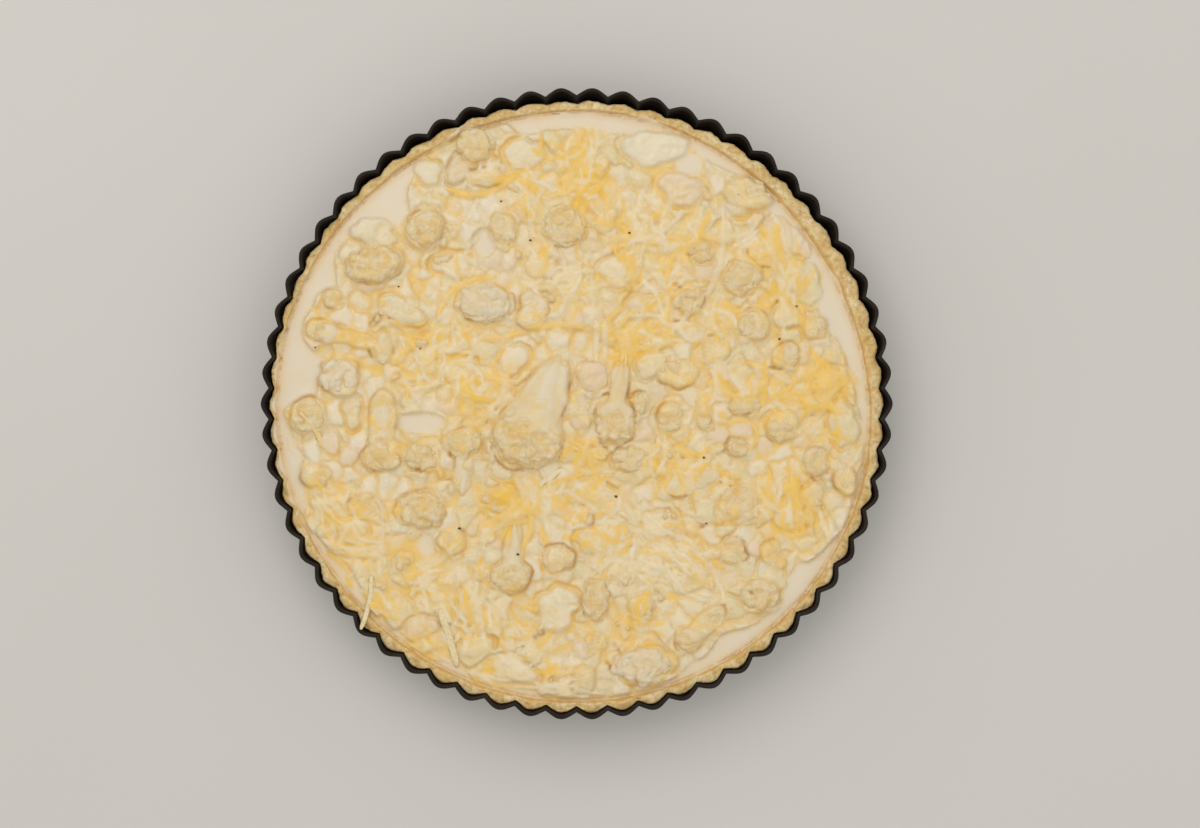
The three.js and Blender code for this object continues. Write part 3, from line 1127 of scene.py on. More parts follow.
@dataclass
class CauliflowerPiece:
    """One floret or cut stalk, grown over a merged copy of its CAD node."""

    node: str
    skin: float = 0.55 * MM
    core_rounds: int = 12  # of smoothing, of the core
    curd_rounds: int = 3
    slab_rounds: int = 7
    inset: float = 0.5 * MM  # how far the core lies inside the CAD solid
    branch_area: float = 48 * MM * MM  # of the head, seen from above, for each branch
    slab_lumps: int = 4  # round a cut stalk's edge
    lobe: float = 6.0 * MM
    lobe_height: float = 1.9 * MM
    seam_depth: float = 0.15 * MM
    ribs: float = 16.0  # of a stalk, per radian seen from beyond its tip
    rib_height: float = 0.3 * MM

    def __post_init__(self) -> None:
        """Reads the piece's place from the frame."""
        self.low, self.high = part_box(self.node)
        self.growth = GROWTHS.get(self.node, Growth())
        self.is_slab = self.node.startswith(("stalk", "slab"))
        self.chance = random.Random(self.node)
        self.centre = np.array(((self.low + self.high) / 2)[:2])
        self.along, self.across = ((self.high - self.low) / 2)[:2]
        self.way, self.side = np.array([1.0, 0.0]), np.array([0.0, 1.0])
        self.tip = 0.0
        if self.growth.heading is None:
            return
        turn = math.radians(self.growth.heading)
        self.way = np.array([math.cos(turn), math.sin(turn)])
        self.side = np.array([-self.way[1], self.way[0]])
        points = points_of(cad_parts[self.node].data)[:, :2]
        run, width = points @ self.way, points @ self.side
        self.across = (width.max() - width.min()) / 2
        self.along = 0.85 * self.across
        self.centre = self.way * (run.min() + self.along)
        self.centre = self.centre + self.side * (width.max() + width.min()) / 2
        self.tip = run.max() - self.centre @ self.way

    def build(self, finishes: dict[str, Material]) -> Object:
        """Makes the piece, still without the stains that the custard leaves.

        Args:
            finishes: the curd's and the stalk's materials.

        Returns:
            The piece, which stands for its CAD node.
        """
        bm = bmesh.new()
        bm.from_mesh(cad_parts[self.node].data)
        bmesh.ops.remove_doubles(bm, verts=bm.verts, dist=1e-6)
        middle = (self.low + self.high) / 2
        inset = self.inset * (0.4 if self.is_slab else 1)
        shares = [max(0.3, 1 - 2 * inset / side) for side in self.high - self.low]
        bmesh.ops.scale(bm, vec=shares, verts=bm.verts, space=Matrix.Translation(-middle))
        finish = finishes["stalk" if self.is_slab else "curd"]
        made = as_object(f"cauliflower_{self.node}", bm, finish)
        join_skin(made, 1.4 * self.skin, self.core_rounds)
        bm = bmesh.new()
        bm.from_mesh(made.data)
        self._add_lumps(bm)
        bm.to_mesh(made.data)
        bm.free()
        join_skin(made, self.skin, self.slab_rounds if self.is_slab else self.curd_rounds)
        self._swell(made.data)
        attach(made, BODY)
        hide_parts(self.node)
        return made

    def _add_lumps(self, bm: BMesh) -> None:
        """Adds the head's round branches, or a cut stalk's uneven sides.

        Args:
            bm: the core that they join.
        """
        chance, area = self.chance, math.pi * self.along * self.across
        count = self.slab_lumps if self.is_slab else max(4, round(area / self.branch_area))
        size = (0.6 if self.is_slab else 1.2) * math.sqrt(area / count / math.pi)
        rise = self.high.z - CUSTARD_LEVEL
        start = chance.uniform(0, math.tau)
        for i in range(count):
            out = 0.85 if self.is_slab else math.sqrt((i + 0.5) / count)
            angle = start + (math.tau / count if self.is_slab else 2.4) * i
            angle += chance.uniform(-0.4, 0.4)
            radius = size * chance.uniform(0.65, 1.25)
            run = max(self.along - 0.95 * radius, 0) * out * math.cos(angle)
            drift = max(self.across - 0.95 * radius, 0) * out * math.sin(angle)
            x, y = self.centre + self.way * run + self.side * drift
            fall = 0.25 if self.is_slab else 0.5 * out**2.5
            top = self.high.z - rise * (fall + chance.uniform(0, 0.12))
            tall = 0.5 * radius if self.is_slab else 0.85 * radius
            add_ball(bm, (x, y, top - tall), (radius, radius, tall), 2)

    def _swell(self, mesh: Mesh) -> None:
        """Raises the curd's buds, or a stalk's slow waves and ribs, and marks the stalk.

        Args:
            mesh: the piece's skin.
        """
        points, normals = points_of(mesh), normals_of(mesh)
        salt = self.chance.randrange(1000)
        stalk = np.zeros(len(points))
        if self.is_slab:
            height, seam = puffs(points, 1.6 * self.lobe, salt)
            lift = 0.5 * self.lobe_height * height + 0.9 * MM * waves(points, 6 * MM, salt + 5, 2)
            seam = 0.4 * seam
        else:
            run, drift = ((points[:, :2] - self.centre) @ way for way in (self.way, self.side))
            if self.growth.heading is not None:
                edge = run / self.along - self.growth.fan
                stalk = eased((edge + 0.3 * waves(points, 5 * MM, salt + 9, 2)) / 0.35)
            height, seam = puffs(points, self.lobe, salt)
            seam *= np.clip(0.7 + 1.0 * waves(points, 7 * MM, salt + 11), 0, 1)
            seam *= 1 - 0.8 * stalk
            lift = (self.lobe_height * height - self.seam_depth * seam) * (1 - stalk)
            bearing = drift / np.maximum(self.tip + 0.5 * self.along - run, 2 * MM)
            rib = np.cos(self.ribs * bearing + 2 * waves(points, 9 * MM, salt))
            seam = np.maximum(seam, 0.5 * stalk * eased(-rib - 0.2 + waves(points, 8 * MM, salt)))
            lift += stalk * self.rib_height * (rib + waves(points, 4 * MM, salt, 2))
        put_points(mesh, points + normals * lift[:, None])
        # Painted shade in the hollows, in the creases between buds and in the stalk's rib valleys.
        cleft = np.maximum(hollowness(mesh, 5, 0.5 * MM), 0.75 * seam)
        put_stains(mesh, stalk=stalk, cleft=cleft, rosy=self.growth.rosy, pale=self.growth.pale)


# ---------- custard
@dataclass(frozen=True)
class Sunken:
    """A cauliflower piece under the custard, which lifts its surface. In mm and degrees."""

    x: float
    y: float
    length: float
    width: float
    turn: float = 0.0
    rise: float = 1.5
    smooth: bool = False  # a stalk or slab, not a curd


SUNKEN = tuple(
    Sunken(*row)
    for row in (
        (32, 105, 30, 18, -6, 1.7), (43, 88, 20, 18, 0, 1.6), (86, 68, 24, 16, -40, 1.2),
        (93, 50, 18, 22, 0, 1.3), (109, -8, 15, 24, 0, 1.4), (-8, -84, 22, 20, 0, 1.7),
        (-42, -101, 17, 15, 0, 1.2), (-26, -109, 24, 12, -8, 0.9), (-73, -85, 19, 17, -30, 1.1),
        (-71, -68, 17, 16, 0, 1.3), (-92, -52, 16, 13, -40, 1.1), (-101, -16, 11, 10, 0, 1.2),
        (-92, -3, 10, 16, 0, 1.3), (-51, 57, 18, 14, 15, 1.4, True),
        (-61, 95, 12, 14, 0, 1.1, True), (-22, 102, 18, 17, 0, 1.3), (-83, 70, 24, 14, 0, 1.7),
        (18, 55, 24, 15, 20, 1.2), (28, 40, 16, 12, 0, 1.1), (30, 16, 15, 12, 0, 1.6),
        (-26, 18, 12, 18, -20, 1.4, True), (-50, 14, 20, 14, 10, 1.0), (5, -36, 20, 14, 0, 1.4),
        (10, -55, 24, 15, 10, 1.2), (34, -50, 18, 15, 0, 1.2), (45, -72, 24, 12, 20, 1.0),
        (90, -46, 18, 15, 0, 1.1), (-44, -82, 20, 13, 60, 1.1), (-15, 56, 15, 13, 0, 1.4, True),
        (60, 70, 13, 11, 0, 1.4), (103, 8, 14, 14, 0, 1.1), (86, 36, 13, 14, 0, 1.5),
        (-64, -92, 15, 13, 30, 0.9), (-30, -27, 14, 9, 0, 1.3), (97, -38, 12, 14, 0, 1.2),
        (68, 84, 20, 16, -40, 1.3), (-36, 96, 16, 14, 10, 1.6), (-48, 96, 14, 13, 0, 1.5),
        (79, -72, 18, 16, 30, 1.2), (62, -84, 16, 14, 40, 1.2),
    )
)

# Where the toppings end and plain custard begins: degrees round the tin, and mm from its axis.
TOPPING_REACH = (
    (0, 115), (12, 112), (18, 107), (24, 107), (28, 112), (32, 112), (37, 108), (43, 108),
    (48, 114), (54, 115), (58, 111), (65, 114), (72, 116), (84, 112), (92, 112), (100, 114),
    (106, 118), (112, 121), (122, 121), (127, 113), (131, 106), (135, 104), (138, 111),
    (144, 115), (150, 114), (154, 109), (157, 115), (166, 116), (171, 106), (178, 107),
    (181, 119), (191, 116), (197, 120), (206, 121), (213, 118), (219, 116), (226, 118),
    (240, 120), (245, 117), (250, 121), (262, 119), (267, 121), (280, 121), (288, 119),
    (296, 115), (303, 113), (309, 116), (315, 118), (320, 114), (324, 112), (329, 118),
    (336, 121), (355, 119),
)

# Where custard spilled over the crust's rim: degrees round the tin, spread in degrees and
# reach in mm.
SPILLS = (
    (186, 8, 3.6), (172, 5, 2.0), (113, 4, 2.6), (76, 3, 1.6), (200, 4, 1.2), (25, 2, 1.2),
)

# Deep gaps between pieces, painted dark as shadow, by the points of their routes in mm.
SHADOWED_CREVICES = (
    ((20, 5), (22, 1), (24, -4), (25, -7)),
    ((9, -16), (12, -18), (15, -18), (19, -17), (23, -14)),
    ((-34, -21), (-31, -25), (-27, -27), (-22, -27)), ((10, 4), (13, 4)),
    ((-37, -8), (-36, -4), (-33, -2)), ((-46, 35), (-43, 34)), ((-46, 107), (-43, 106)),
    ((-44, 96), (-40, 96), (-37, 97)), ((46, 61), (48, 63), (49, 66)), ((70, 59), (70, 63)),
    ((40, 49), (44, 47)), ((76, 56), (79, 56)), ((79, 15), (84, 14)), ((82, 42), (80, 45)),
    ((40, 34), (43, 34)), ((-88, -27), (-85, -28), (-82, -27)), ((-53, -31), (-50, -31)),
    ((-52, -20), (-51, -26)), ((-66, -27), (-62, -27)), ((-65, -38), (-62, -38), (-60, -41)),
    ((-78, 35), (-75, 35)), ((-86, 24), (-84, 19)), ((11, -105), (14, -108)),
    ((15, -98), (18, -102)), ((60, -82), (63, -84)), ((70, -76), (73, -79)),
    ((26, -88), (31, -84)), ((96, -30), (99, -33)), ((107, -33), (110, -34)),
    ((59, -32), (64, -34)), ((-5, 0), (-6, -5)), ((0, 31), (-5, 34)),
)

# Pools of plain custard between the toppings: x, y, length and width in mm.
POOLS = (
    (-64, -8, 22, 9), (-38, 66, 10, 12), (-62, -60, 8, 14), (46, 98, 12, 10), (62, 80, 8, 8),
    (70, 68, 7, 10),
)


@dataclass
class Custard:
    """The set custard: it wets every piece that stands in it and coats the sunken ones."""

    m: TopMap
    florets: list[Object]
    crust: Object
    creep: float = 1.5 * MM  # how high it climbs against a floret
    heap: float = 1.1 * MM  # how much higher it stands where florets crowd
    cell: float = 0.56 * MM
    triangles: int = 196_000  # what the mesh is thinned to
    chunk: float = 8.0 * MM  # the cut cauliflower that fills the gaps between the florets
    bud: float = 5.5 * MM
    bud_height: float = 1.5 * MM
    pack: float = 1.6 * MM  # how much higher the filling is heaped against the florets
    bury: float = 0.5 * MM  # how far the filling stays below the top of what stands in it
    film: float = 0.1 * MM  # of custard over the filling
    proud: float = 0.3 * MM  # how far a piece stands out where it counts as dry
    crack: float = 0.55 * MM  # half width of a gap painted dark as shadow
    lap: float = 0.3 * MM  # how far it laps over the crust's rim where it didn't spill
    line: float = 1.7 * MM  # width of the painted shadow line along the crust
    tucked: float = 4.5 * MM  # how far its edge lies inside the crust
    sheet: float = 1.3 * MM  # of crust that stays between that edge and the tin's outside
    edge_drop: float = 1.8 * MM  # how far that edge rolls down
    edge_width: float = 1.4 * MM  # how wide the roll is
    foot_share: float = 0.92  # of the edge's radius, where its skirt meets the floor

    def __post_init__(self) -> None:
        """Works out what lies under the custard."""
        m = self.m
        self.wall = Ring("crust", Edge.TOP_INNER)
        self.gap = self.wall.mean_at(m.angle) - m.radius
        self.nothing = CUSTARD_LEVEL - 3 * MM
        self.tops = m.heights_of(self.florets, self.nothing, self.gap > -3 * MM)
        self.rim = m.heights_of([self.crust], self.nothing, np.abs(self.gap) < 5 * MM)
        self.covered = self._covered()
        height, self.seam = m.puffs(self.bud, 21)
        self.buds = self.bud_height * height
        self._fill()
        for number, piece in enumerate(SUNKEN):
            self._sink(piece, random.Random(number))
        self.crest = np.zeros(m.x.shape)
        self.uneven = 0.75 + 0.35 * m.waves(4 * MM, 73)
        self.settle([])

    def _covered(self) -> ndarray:
        """Where there are toppings.

        Returns:
            One number from 0 to 1 for each cell.
        """
        m = self.m
        degrees, reach = np.array(TOPPING_REACH).T
        limit = np.interp(np.degrees(m.angle) % 360, degrees, reach, period=360) * MM
        covered = np.clip(0.5 + (limit - m.radius) / (3 * MM) + m.waves(9 * MM, 3), 0, 1)
        for x, y, length, width in POOLS:
            rho = np.hypot((m.x - x * MM) / (length / 2), (m.y - y * MM) / (width / 2)) / MM
            covered *= np.clip((rho - 0.8) * 3, 0, 1)
        return covered

    def _fill(self) -> None:
        """Packs cut cauliflower of all shapes between the florets, under the custard."""
        m = self.m
        near, following, self.own = m.buds(self.chunk, 11, 0.35 * self.chunk)
        edge = following - near  # 0 where two chunks meet
        body = eased(edge / 0.2)
        level = MM * (1.9 * self.own + 0.6 * m.waves(13 * MM, 13) + 0.8 * eased(edge / 0.8))
        stands = self.tops > CUSTARD_LEVEL
        level += self.pack * m.blur(stands.astype(float), 2.5 * MM)
        self.smooth = (self.own * 7.3 % 1.0 < 0.3).astype(float)  # three in ten are stalk
        grain = self.buds * np.where(self.smooth > 0.5, 0.3, 1.0)
        height = CUSTARD_LEVEL + level + body * grain - 0.9 * MM * (1 - body)
        height = np.where(stands, np.minimum(height, self.tops - self.bury), height)
        self.relief = np.where(self.covered > 0.5, height, self.nothing)
        self.gutter = 1 - eased(edge / 0.1)
        self.margin = 1 - eased(edge / 0.35)

    def _sink(self, piece: Sunken, chance: random.Random) -> None:
        """Puts one sunken piece on the map, with a lobed outline.

        Args:
            piece: its place and size.
            chance: what its lobes are drawn from.
        """
        m = self.m
        a, b = piece.length / 2 * MM, piece.width / 2 * MM
        spot = np.array([[piece.x * MM, piece.y * MM]])
        part = m.window(spot, 1.3 * max(a, b))
        turn = math.radians(piece.turn)
        dx, dy = m.x[part] - spot[0, 0], m.y[part] - spot[0, 1]
        u = dx * math.cos(turn) + dy * math.sin(turn)
        v = dy * math.cos(turn) - dx * math.sin(turn)
        angle = np.arctan2(v / b, u / a)
        waved = [0.28 / k * np.cos(k * angle + chance.uniform(0, math.tau)) for k in (2, 3, 5, 8)]
        inside = 1 - np.hypot(u / a, v / b) / (1 + sum(waved))  # 1 in the middle, 0 at the edge
        body = eased(inside / 0.3)
        height = CUSTARD_LEVEL - 1.2 * MM + (piece.rise + 1.4 + 0.6 * inside) * MM * body
        height += body * self.buds[part] * (0.2 if piece.smooth else 1.1)
        for values, own, bound in (
            (self.relief, height, 0),
            (self.smooth, float(piece.smooth), 0),
            (self.own, chance.random(), 0),
            (self.gutter, 1 - eased(np.abs(inside) / 0.09), -0.2),
            (self.margin, 1 - eased(np.abs(inside) / 0.3), -0.2),
        ):
            values[part] = np.where(inside > bound, own, values[part])

    def settle(self, crumbs: list[Object]) -> None:
        """Works out the custard's surface and stains, once more pieces stand in it.

        Args:
            crumbs: the further pieces.
        """
        m = self.m
        if crumbs:
            found = m.heights_of(crumbs, self.nothing, self.covered > 0.5)
            self.tops = np.maximum(self.tops, found)
        proud = (self.tops > CUSTARD_LEVEL + self.proud).astype(float)
        self.crowd = m.blur(proud, 1.1 * MM)
        # The pool is what was poured: almost level, but it climbs against what stands in it.
        pool = CUSTARD_LEVEL + 0.3 * MM * m.waves(15 * MM, 7)
        creep = self.creep * np.clip(1 + 2.4 * m.waves(6 * MM, 75, 2), 0.2, 3)
        pool += creep * np.clip(1.6 * self.crowd, 0, 1) + self.heap * m.blur(proud, 3 * MM)
        # The film coats what is sunk, and a round join takes it into the pool.
        film = m.blur(self.relief, 0.3 * MM) + self.film
        blend = np.sqrt((pool - film) ** 2 + (0.4 * MM) ** 2)
        self.height = 0.5 * (pool + film + blend) + 0.1 * MM * m.waves(5 * MM, 89, 2)
        self.shown = np.clip((film - pool + 0.3 * MM) / (1.0 * MM), 0, 1)
        under = np.maximum(proud, (film > pool).astype(float))
        edge = m.blur(proud, 0.6 * MM)
        surface = np.maximum(self.height, self.tops)
        hollow = np.clip((m.blur(surface, 1.3 * MM) - surface) / (0.4 * MM), 0, 1)
        self._paint_shade(edge, hollow)
        bare = m.blur(1 - self.covered, 2 * MM)
        self.open = np.clip(1.3 * bare - 0.7 * m.blur(under, 1.2 * MM), 0, 1)
        self._grease(hollow, bare)
        self._lap_over_rim()

    def _paint_shade(self, edge: ndarray, hollow: ndarray) -> None:
        """Paints shade: tan lines where pieces meet the custard and each other, and dark shadow in
        the deep gaps between them.

        Args:
            edge: the share of each cell's surroundings that stands proud.
            hollow: how deep each cell lies below its surroundings, from 0 to 1.
        """
        m = self.m
        broken = np.clip(0.38 + 1.2 * m.waves(6 * MM, 41, 2), 0, 1)  # no line runs all round
        # Painted shade where a piece leaves the custard, along the gutters between chunks and in the
        # creases of the buds.
        lines = (
            4 * edge * (1 - edge),  # 1 where a piece leaves the custard
            0.65 * self.gutter * self.covered,
            0.55 * self.seam * self.shown,
        )
        self.contact = np.maximum.reduce(lines) * broken
        # Painted shadow in rings round proud pieces and in the deep gaps.
        spots = np.clip(4 * m.waves(9 * MM, 43, 2) - 0.7, 0, 1)
        ring = 1 - np.abs(2 * edge - 1)
        self.crevice = np.maximum(ring * spots, self._gaps() * np.clip(2 * hollow, 0.1, 1))

    def _grease(self, hollow: ndarray, bare: ndarray) -> None:
        """Marks the yellow fat: blotches, the handfuls' stains and a tide mark.

        Args:
            hollow: how deep each cell lies below its surroundings, from 0 to 1.
            bare: where there are no toppings, from 0 to 1.
        """
        m = self.m
        blotch = eased(0.5 + 1.6 * m.waves(8 * MM, 71, 2))
        low = 1 - 0.8 * self.shown
        edges = np.maximum(0.5 * self.margin, 0.35 * hollow)
        self.fat = (0.25 * blotch * low + edges * (0.3 + 0.7 * blotch)) * self.covered
        for handful in HANDFULS:
            away = np.hypot(m.x / MM - handful.x, m.y / MM - handful.y) / handful.spread
            fat = 1.2 * handful.fat * np.exp(-0.7 * away**2) * (0.5 + 0.5 * blotch) * (0.7 + low)
            self.fat = np.maximum(self.fat, np.minimum(fat, 1) * (0.2 + 0.8 * self.covered))
        tide = eased(m.waves(7 * MM, 83, 2) + 0.2) * eased(0.3 + m.waves(16 * MM, 85))
        self.fat = np.maximum(m.blur(self.fat, 0.4 * MM), 0.45 * tide * bare)

    def _gaps(self) -> ndarray:
        """How far each cell lies in a deep gap that is painted dark as shadow.

        Returns:
            One number from 0 to 1 for each cell.
        """
        m = self.m
        found = np.zeros(m.x.shape)
        width = self.crack * (1 + 1.2 * m.waves(3 * MM, 49, 2))
        for corners in SHADOWED_CREVICES:
            ends = np.array(corners) * MM
            part = m.window(ends, 3 * MM)
            away = np.full(m.x[part].shape, 1.0)
            for start, end in itertools.pairwise(ends):
                along = end - start
                dx, dy = m.x[part] - start[0], m.y[part] - start[1]
                share = np.clip((dx * along[0] + dy * along[1]) / (along @ along), 0, 1)
                away = np.minimum(away, np.hypot(dx - share * along[0], dy - share * along[1]))
            found[part] = np.maximum(found[part], eased(1.5 - away / width[part]))
        return found

    def _lap_over_rim(self) -> None:
        """Runs the custard up to the crust, and over its rim where it spilled."""
        m = self.m
        lap = self.lap * (1 + 1.2 * m.waves(6 * MM, 45, 3))
        for degrees, spread, reach in SPILLS:
            turn = (np.degrees(m.angle) - degrees + 180) % 360 - 180
            lap += reach * MM * np.exp(-((turn / spread) ** 2)) * (1 + 0.4 * m.waves(5 * MM, 47, 2))
        over = (self.gap + lap) / (1.2 * MM)  # 0 where the film ends on the rim
        on_rim = self.rim + MM * np.clip(0.45 * over, -0.6, 0.4)
        share = eased(1 - (self.gap + 0.2 * MM) / (2.0 * MM))
        beside = self.height * (1 - share) + (CUSTARD_LEVEL + 0.3 * MM) * share
        self.height = np.where(self.gap < 0.3 * MM, np.maximum(on_rim, beside - 1 * MM), beside)
        # A painted shadow line where the custard meets the crust's inner wall.
        line = np.exp(-(((self.gap - 0.2 * MM) / self.line) ** 2))
        self.contact = np.maximum(self.contact, 0.65 * line * (0.8 + 0.6 * m.waves(5 * MM, 87, 2)))

    def press(self, route: ndarray, width: float, fat: float, white: float, lift: float) -> None:
        """Melts one shred into the surface as a low ridge of its own colour.

        Args:
            route: rows of x, y in metres, closely spaced.
            width: the shred's width in metres.
            fat: how yellow it is, 0 to 1.
            white: how white it is, 0 to 1.
            lift: how far it stands up in metres.
        """
        ground = smoothed(self.m.at(self.height, *route.T), 12)
        part, nearest, away = self.m.beside(route, width)
        away = away / (width / 2)
        ends = np.minimum(nearest, len(route) - 1 - nearest) / (0.25 * len(route))
        away /= 0.4 + 0.6 * np.clip(ends, 0, 1) ** 0.5
        mask = eased((1.25 - away) / 0.5) * self.uneven[part]
        crown = ground[nearest] + lift * (1 - 0.6 * away**2)
        crown = np.maximum(crown, self.height[part] - 0.3 * MM)
        for values, own in (
            (self.height, crown),
            (self.fat, fat),
            (self.crest, white),
            (self.shown, 0.0),
        ):
            values[part] += mask * (own - values[part])
        # A faint painted shade line along each side of the shred.
        line = np.exp(-(((away - 1.2) / 0.25) ** 2)) * self.uneven[part]
        self.contact[part] = np.maximum(self.contact[part] * (1 - mask), 0.2 * line)
        self.fat[part] = np.maximum(self.fat[part], 0.6 * line)

    def _past_edge(self, places: ndarray) -> ndarray:
        """How far past the custard's hidden edge, inside the crust, each place lies.

        Args:
            places: rows of x, y in metres.

        Returns:
            One length for each place, in metres.
        """
        radius, angle = polar(places)
        tin = FlutedSide("tin").radius(angle, np.full(len(places), CUSTARD_LEVEL))
        return radius - np.minimum(self.wall.mean_at(angle) + self.tucked, tin - self.sheet)

    def build(self) -> Object:
        """Makes the custard as one closed body.

        Returns:
            The custard, which stands for the filling's CAD node.
        """
        m = self.m
        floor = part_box("filling")[0].z
        bm = bmesh.new()
        half = float(self.wall.mean.max()) + 2 * self.tucked
        segments = round(2 * half / self.cell)
        bmesh.ops.create_grid(bm, x_segments=segments, y_segments=segments, size=half)
        outside = self._past_edge(np.array([vert.co[:2] for vert in bm.verts])) > self.cell
        gone = [vert for vert, out in zip(bm.verts, outside) if out]
        bmesh.ops.delete(bm, geom=gone, context="VERTS")
        loose = [v for v in bm.verts if not v.link_faces]
        bmesh.ops.delete(bm, geom=loose, context="VERTS")
        places = np.array([vert.co[:2] for vert in bm.verts])
        past = self._past_edge(places)
        places *= (1 - np.maximum(past, 0) / polar(places)[0])[:, None]
        rolled = self.edge_drop * eased(1 + past / self.edge_width)
        for vert, (x, y), z in zip(bm.verts, places, m.at(self.height, *places.T) - rolled):
            vert.co = (x, y, z)
        rim = [e for e in bm.edges if e.is_boundary]
        skirt = bmesh.ops.extrude_edge_only(bm, edges=rim)["geom"]
        for vert in (g for g in skirt if isinstance(g, BMVert)):
            vert.co = (self.foot_share * vert.co.x, self.foot_share * vert.co.y, floor)
        foot = [g for g in skirt if isinstance(g, BMEdge) and g.is_boundary]
        bmesh.ops.contextual_create(bm, geom=foot)
        bmesh.ops.recalc_face_normals(bm, faces=bm.faces)
        made = as_object("set_custard", bm, SET_CUSTARD.material())
        self._thin(made)
        mottle = 0.75 + 0.25 * m.waves(5 * MM, 51, 3)
        pale = np.clip(self.smooth + 1.6 * (self.own * 3.7 % 1.0) - 0.4, 0, 1)
        stains = {
            # The first two stains are painted shade.
            "contact": self.contact,
            "crevice": self.crevice,
            "open": self.open,
            "fat": self.fat,
            "sunk": self.shown * (1 - self.smooth) * mottle,
            "white": np.maximum(self.crest, self.shown * pale),
            "rosy": self.shown * (self.own * 5.9 % 1.0 > 0.85),
        }
        x, y, _ = points_of(made.data).T
        put_stains(made.data, **{name: m.at(values, x, y) for name, values in stains.items()})
        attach(made, BODY)
        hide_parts("filling")
        return made

    def _thin(self, made: Object, kept: float = 0.02, pull: float = 3e-5) -> None:
        """Takes triangles out of the custard where a floret hides it or where it is flat.

        Args:
            made: the custard, whose mesh is replaced.
            kept: the weight of what is in sight, where 0 would keep every triangle.
            pull: how much the weights count against the shape.
        """
        m = self.m
        deep = m.blur((self.tops > self.height + self.proud).astype(float), 0.6 * MM) > 0.98
        x, y, z = points_of(made.data).T
        hidden = m.at((deep & (self.gap > 3 * MM)).astype(float), x, y)
        hidden = (hidden > 0.99) & (z > CUSTARD_LEVEL - 6 * MM)
        group = made.vertex_groups.new(name="hidden")
        for chosen, weight in ((~hidden, kept), (hidden, 1.0)):
            group.add(np.nonzero(chosen)[0].tolist(), weight, "REPLACE")
        thin = made.modifiers.new("thin", "DECIMATE")
        thin.vertex_group = group.name
        thin.vertex_group_factor = pull
        thin.ratio = self.triangles / sum(len(f.vertices) - 2 for f in made.data.polygons)
        apply_modifiers(made)
        made.vertex_groups.clear()

    def stain(self, pieces: list[Object]) -> None:
        """Gives each piece painted shade at its waterline, the painted shadow of the deep gaps, its
        film of custard and its fat.

        Args:
            pieces: what stands in the custard.
        """
        m = self.m
        fat = m.blur(self.fat, 1.0 * MM)
        for piece in pieces:
            points = points_of(piece.data)
            x, y, z = points.T
            above = z - m.at(self.height, x, y)
            patchy = 0.6 + 0.6 * waves(points, 6 * MM, 61, 2)
            broken = np.clip(0.4 + 1.1 * waves(points, 7 * MM, 63, 2), 0, 1)
            straw = eased(2.2 * waves(points, 5 * MM, 65, 2) - 0.1)
            # The waterline stain and the gap stain are painted shade.
            put_stains(
                piece.data,
                contact=np.exp(-np.clip(above, 0, 1) / (0.5 * MM)) * broken,
                film=(1 - (above - 0.3 * MM) / (1.8 * MM)) * patchy,
                fat=m.at(fat, x, y) * (0.3 + 0.5 * patchy) + 0.4 * straw,
                crevice=m.at(self.crevice, x, y),
            )


@dataclass
class CurdCrumbs:
    """Small buds broken from the florets, lying between them."""

    custard: Custard
    count: int = 45
    size: Pair = (0.9 * MM, 2.1 * MM)
    reach: float = 116 * MM  # how far from the axis they lie
    skin: float = 0.5 * MM
    spread_mm: float = 1.5  # of the buds of one crumb

    def build(self, finish: Material) -> Object:
        """Makes the crumbs as one joined piece.

        Args:
            finish: the curd's material.

        Returns:
            The crumbs.
        """
        chance = random.Random(19)
        c = self.custard
        bm = bmesh.new()
        placed = 0
        while placed < self.count:
            out, way = self.reach * math.sqrt(chance.random()), chance.uniform(0, math.tau)
            x, y = out * math.cos(way), out * math.sin(way)
            if c.m.at(c.crowd, x, y) > 0.1 or c.m.at(c.covered, x, y) < 0.9:
                continue
            placed += 1
            for _ in range(chance.randint(2, 5)):
                radius = chance.uniform(*self.size)
                spot = [w + chance.gauss(0, self.spread_mm) * MM for w in (x, y)]
                z = float(c.m.at(c.height, *spot)) - radius * chance.uniform(0.1, 0.7)
                add_ball(bm, (*spot, z), (radius, radius * chance.uniform(0.8, 1.2), radius), 1)
        made = as_object("curd_crumbs", bm, finish)
        join_skin(made, self.skin, 2)
        points = points_of(made.data)
        lift = 0.3 * MM * (0.5 - buds(points, 1.6 * MM, 3)[0] ** 2)
        put_points(made.data, points + normals_of(made.data) * lift[:, None])
        # Painted shade in the crumbs' hollows.
        put_stains(made.data, cleft=hollowness(made.data, 4, 0.45 * MM))
        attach(made, BODY)
        return made


# ---------- cheese
class Tone(Enum):
    """How deep a shred's yellow is."""

    DEEP = "deep"
    PALE = "pale"


@dataclass(frozen=True)
class Handful:
    """A patch of grated cheese. Places and spreads in mm."""

    x: float
    y: float
    spread: float
    count: int
    deep: float  # share of deep yellow shreds
    fat: float  # how yellow the fat has stained what lies under it
    heading: float | None = None  # degrees, where the shreds lie one way


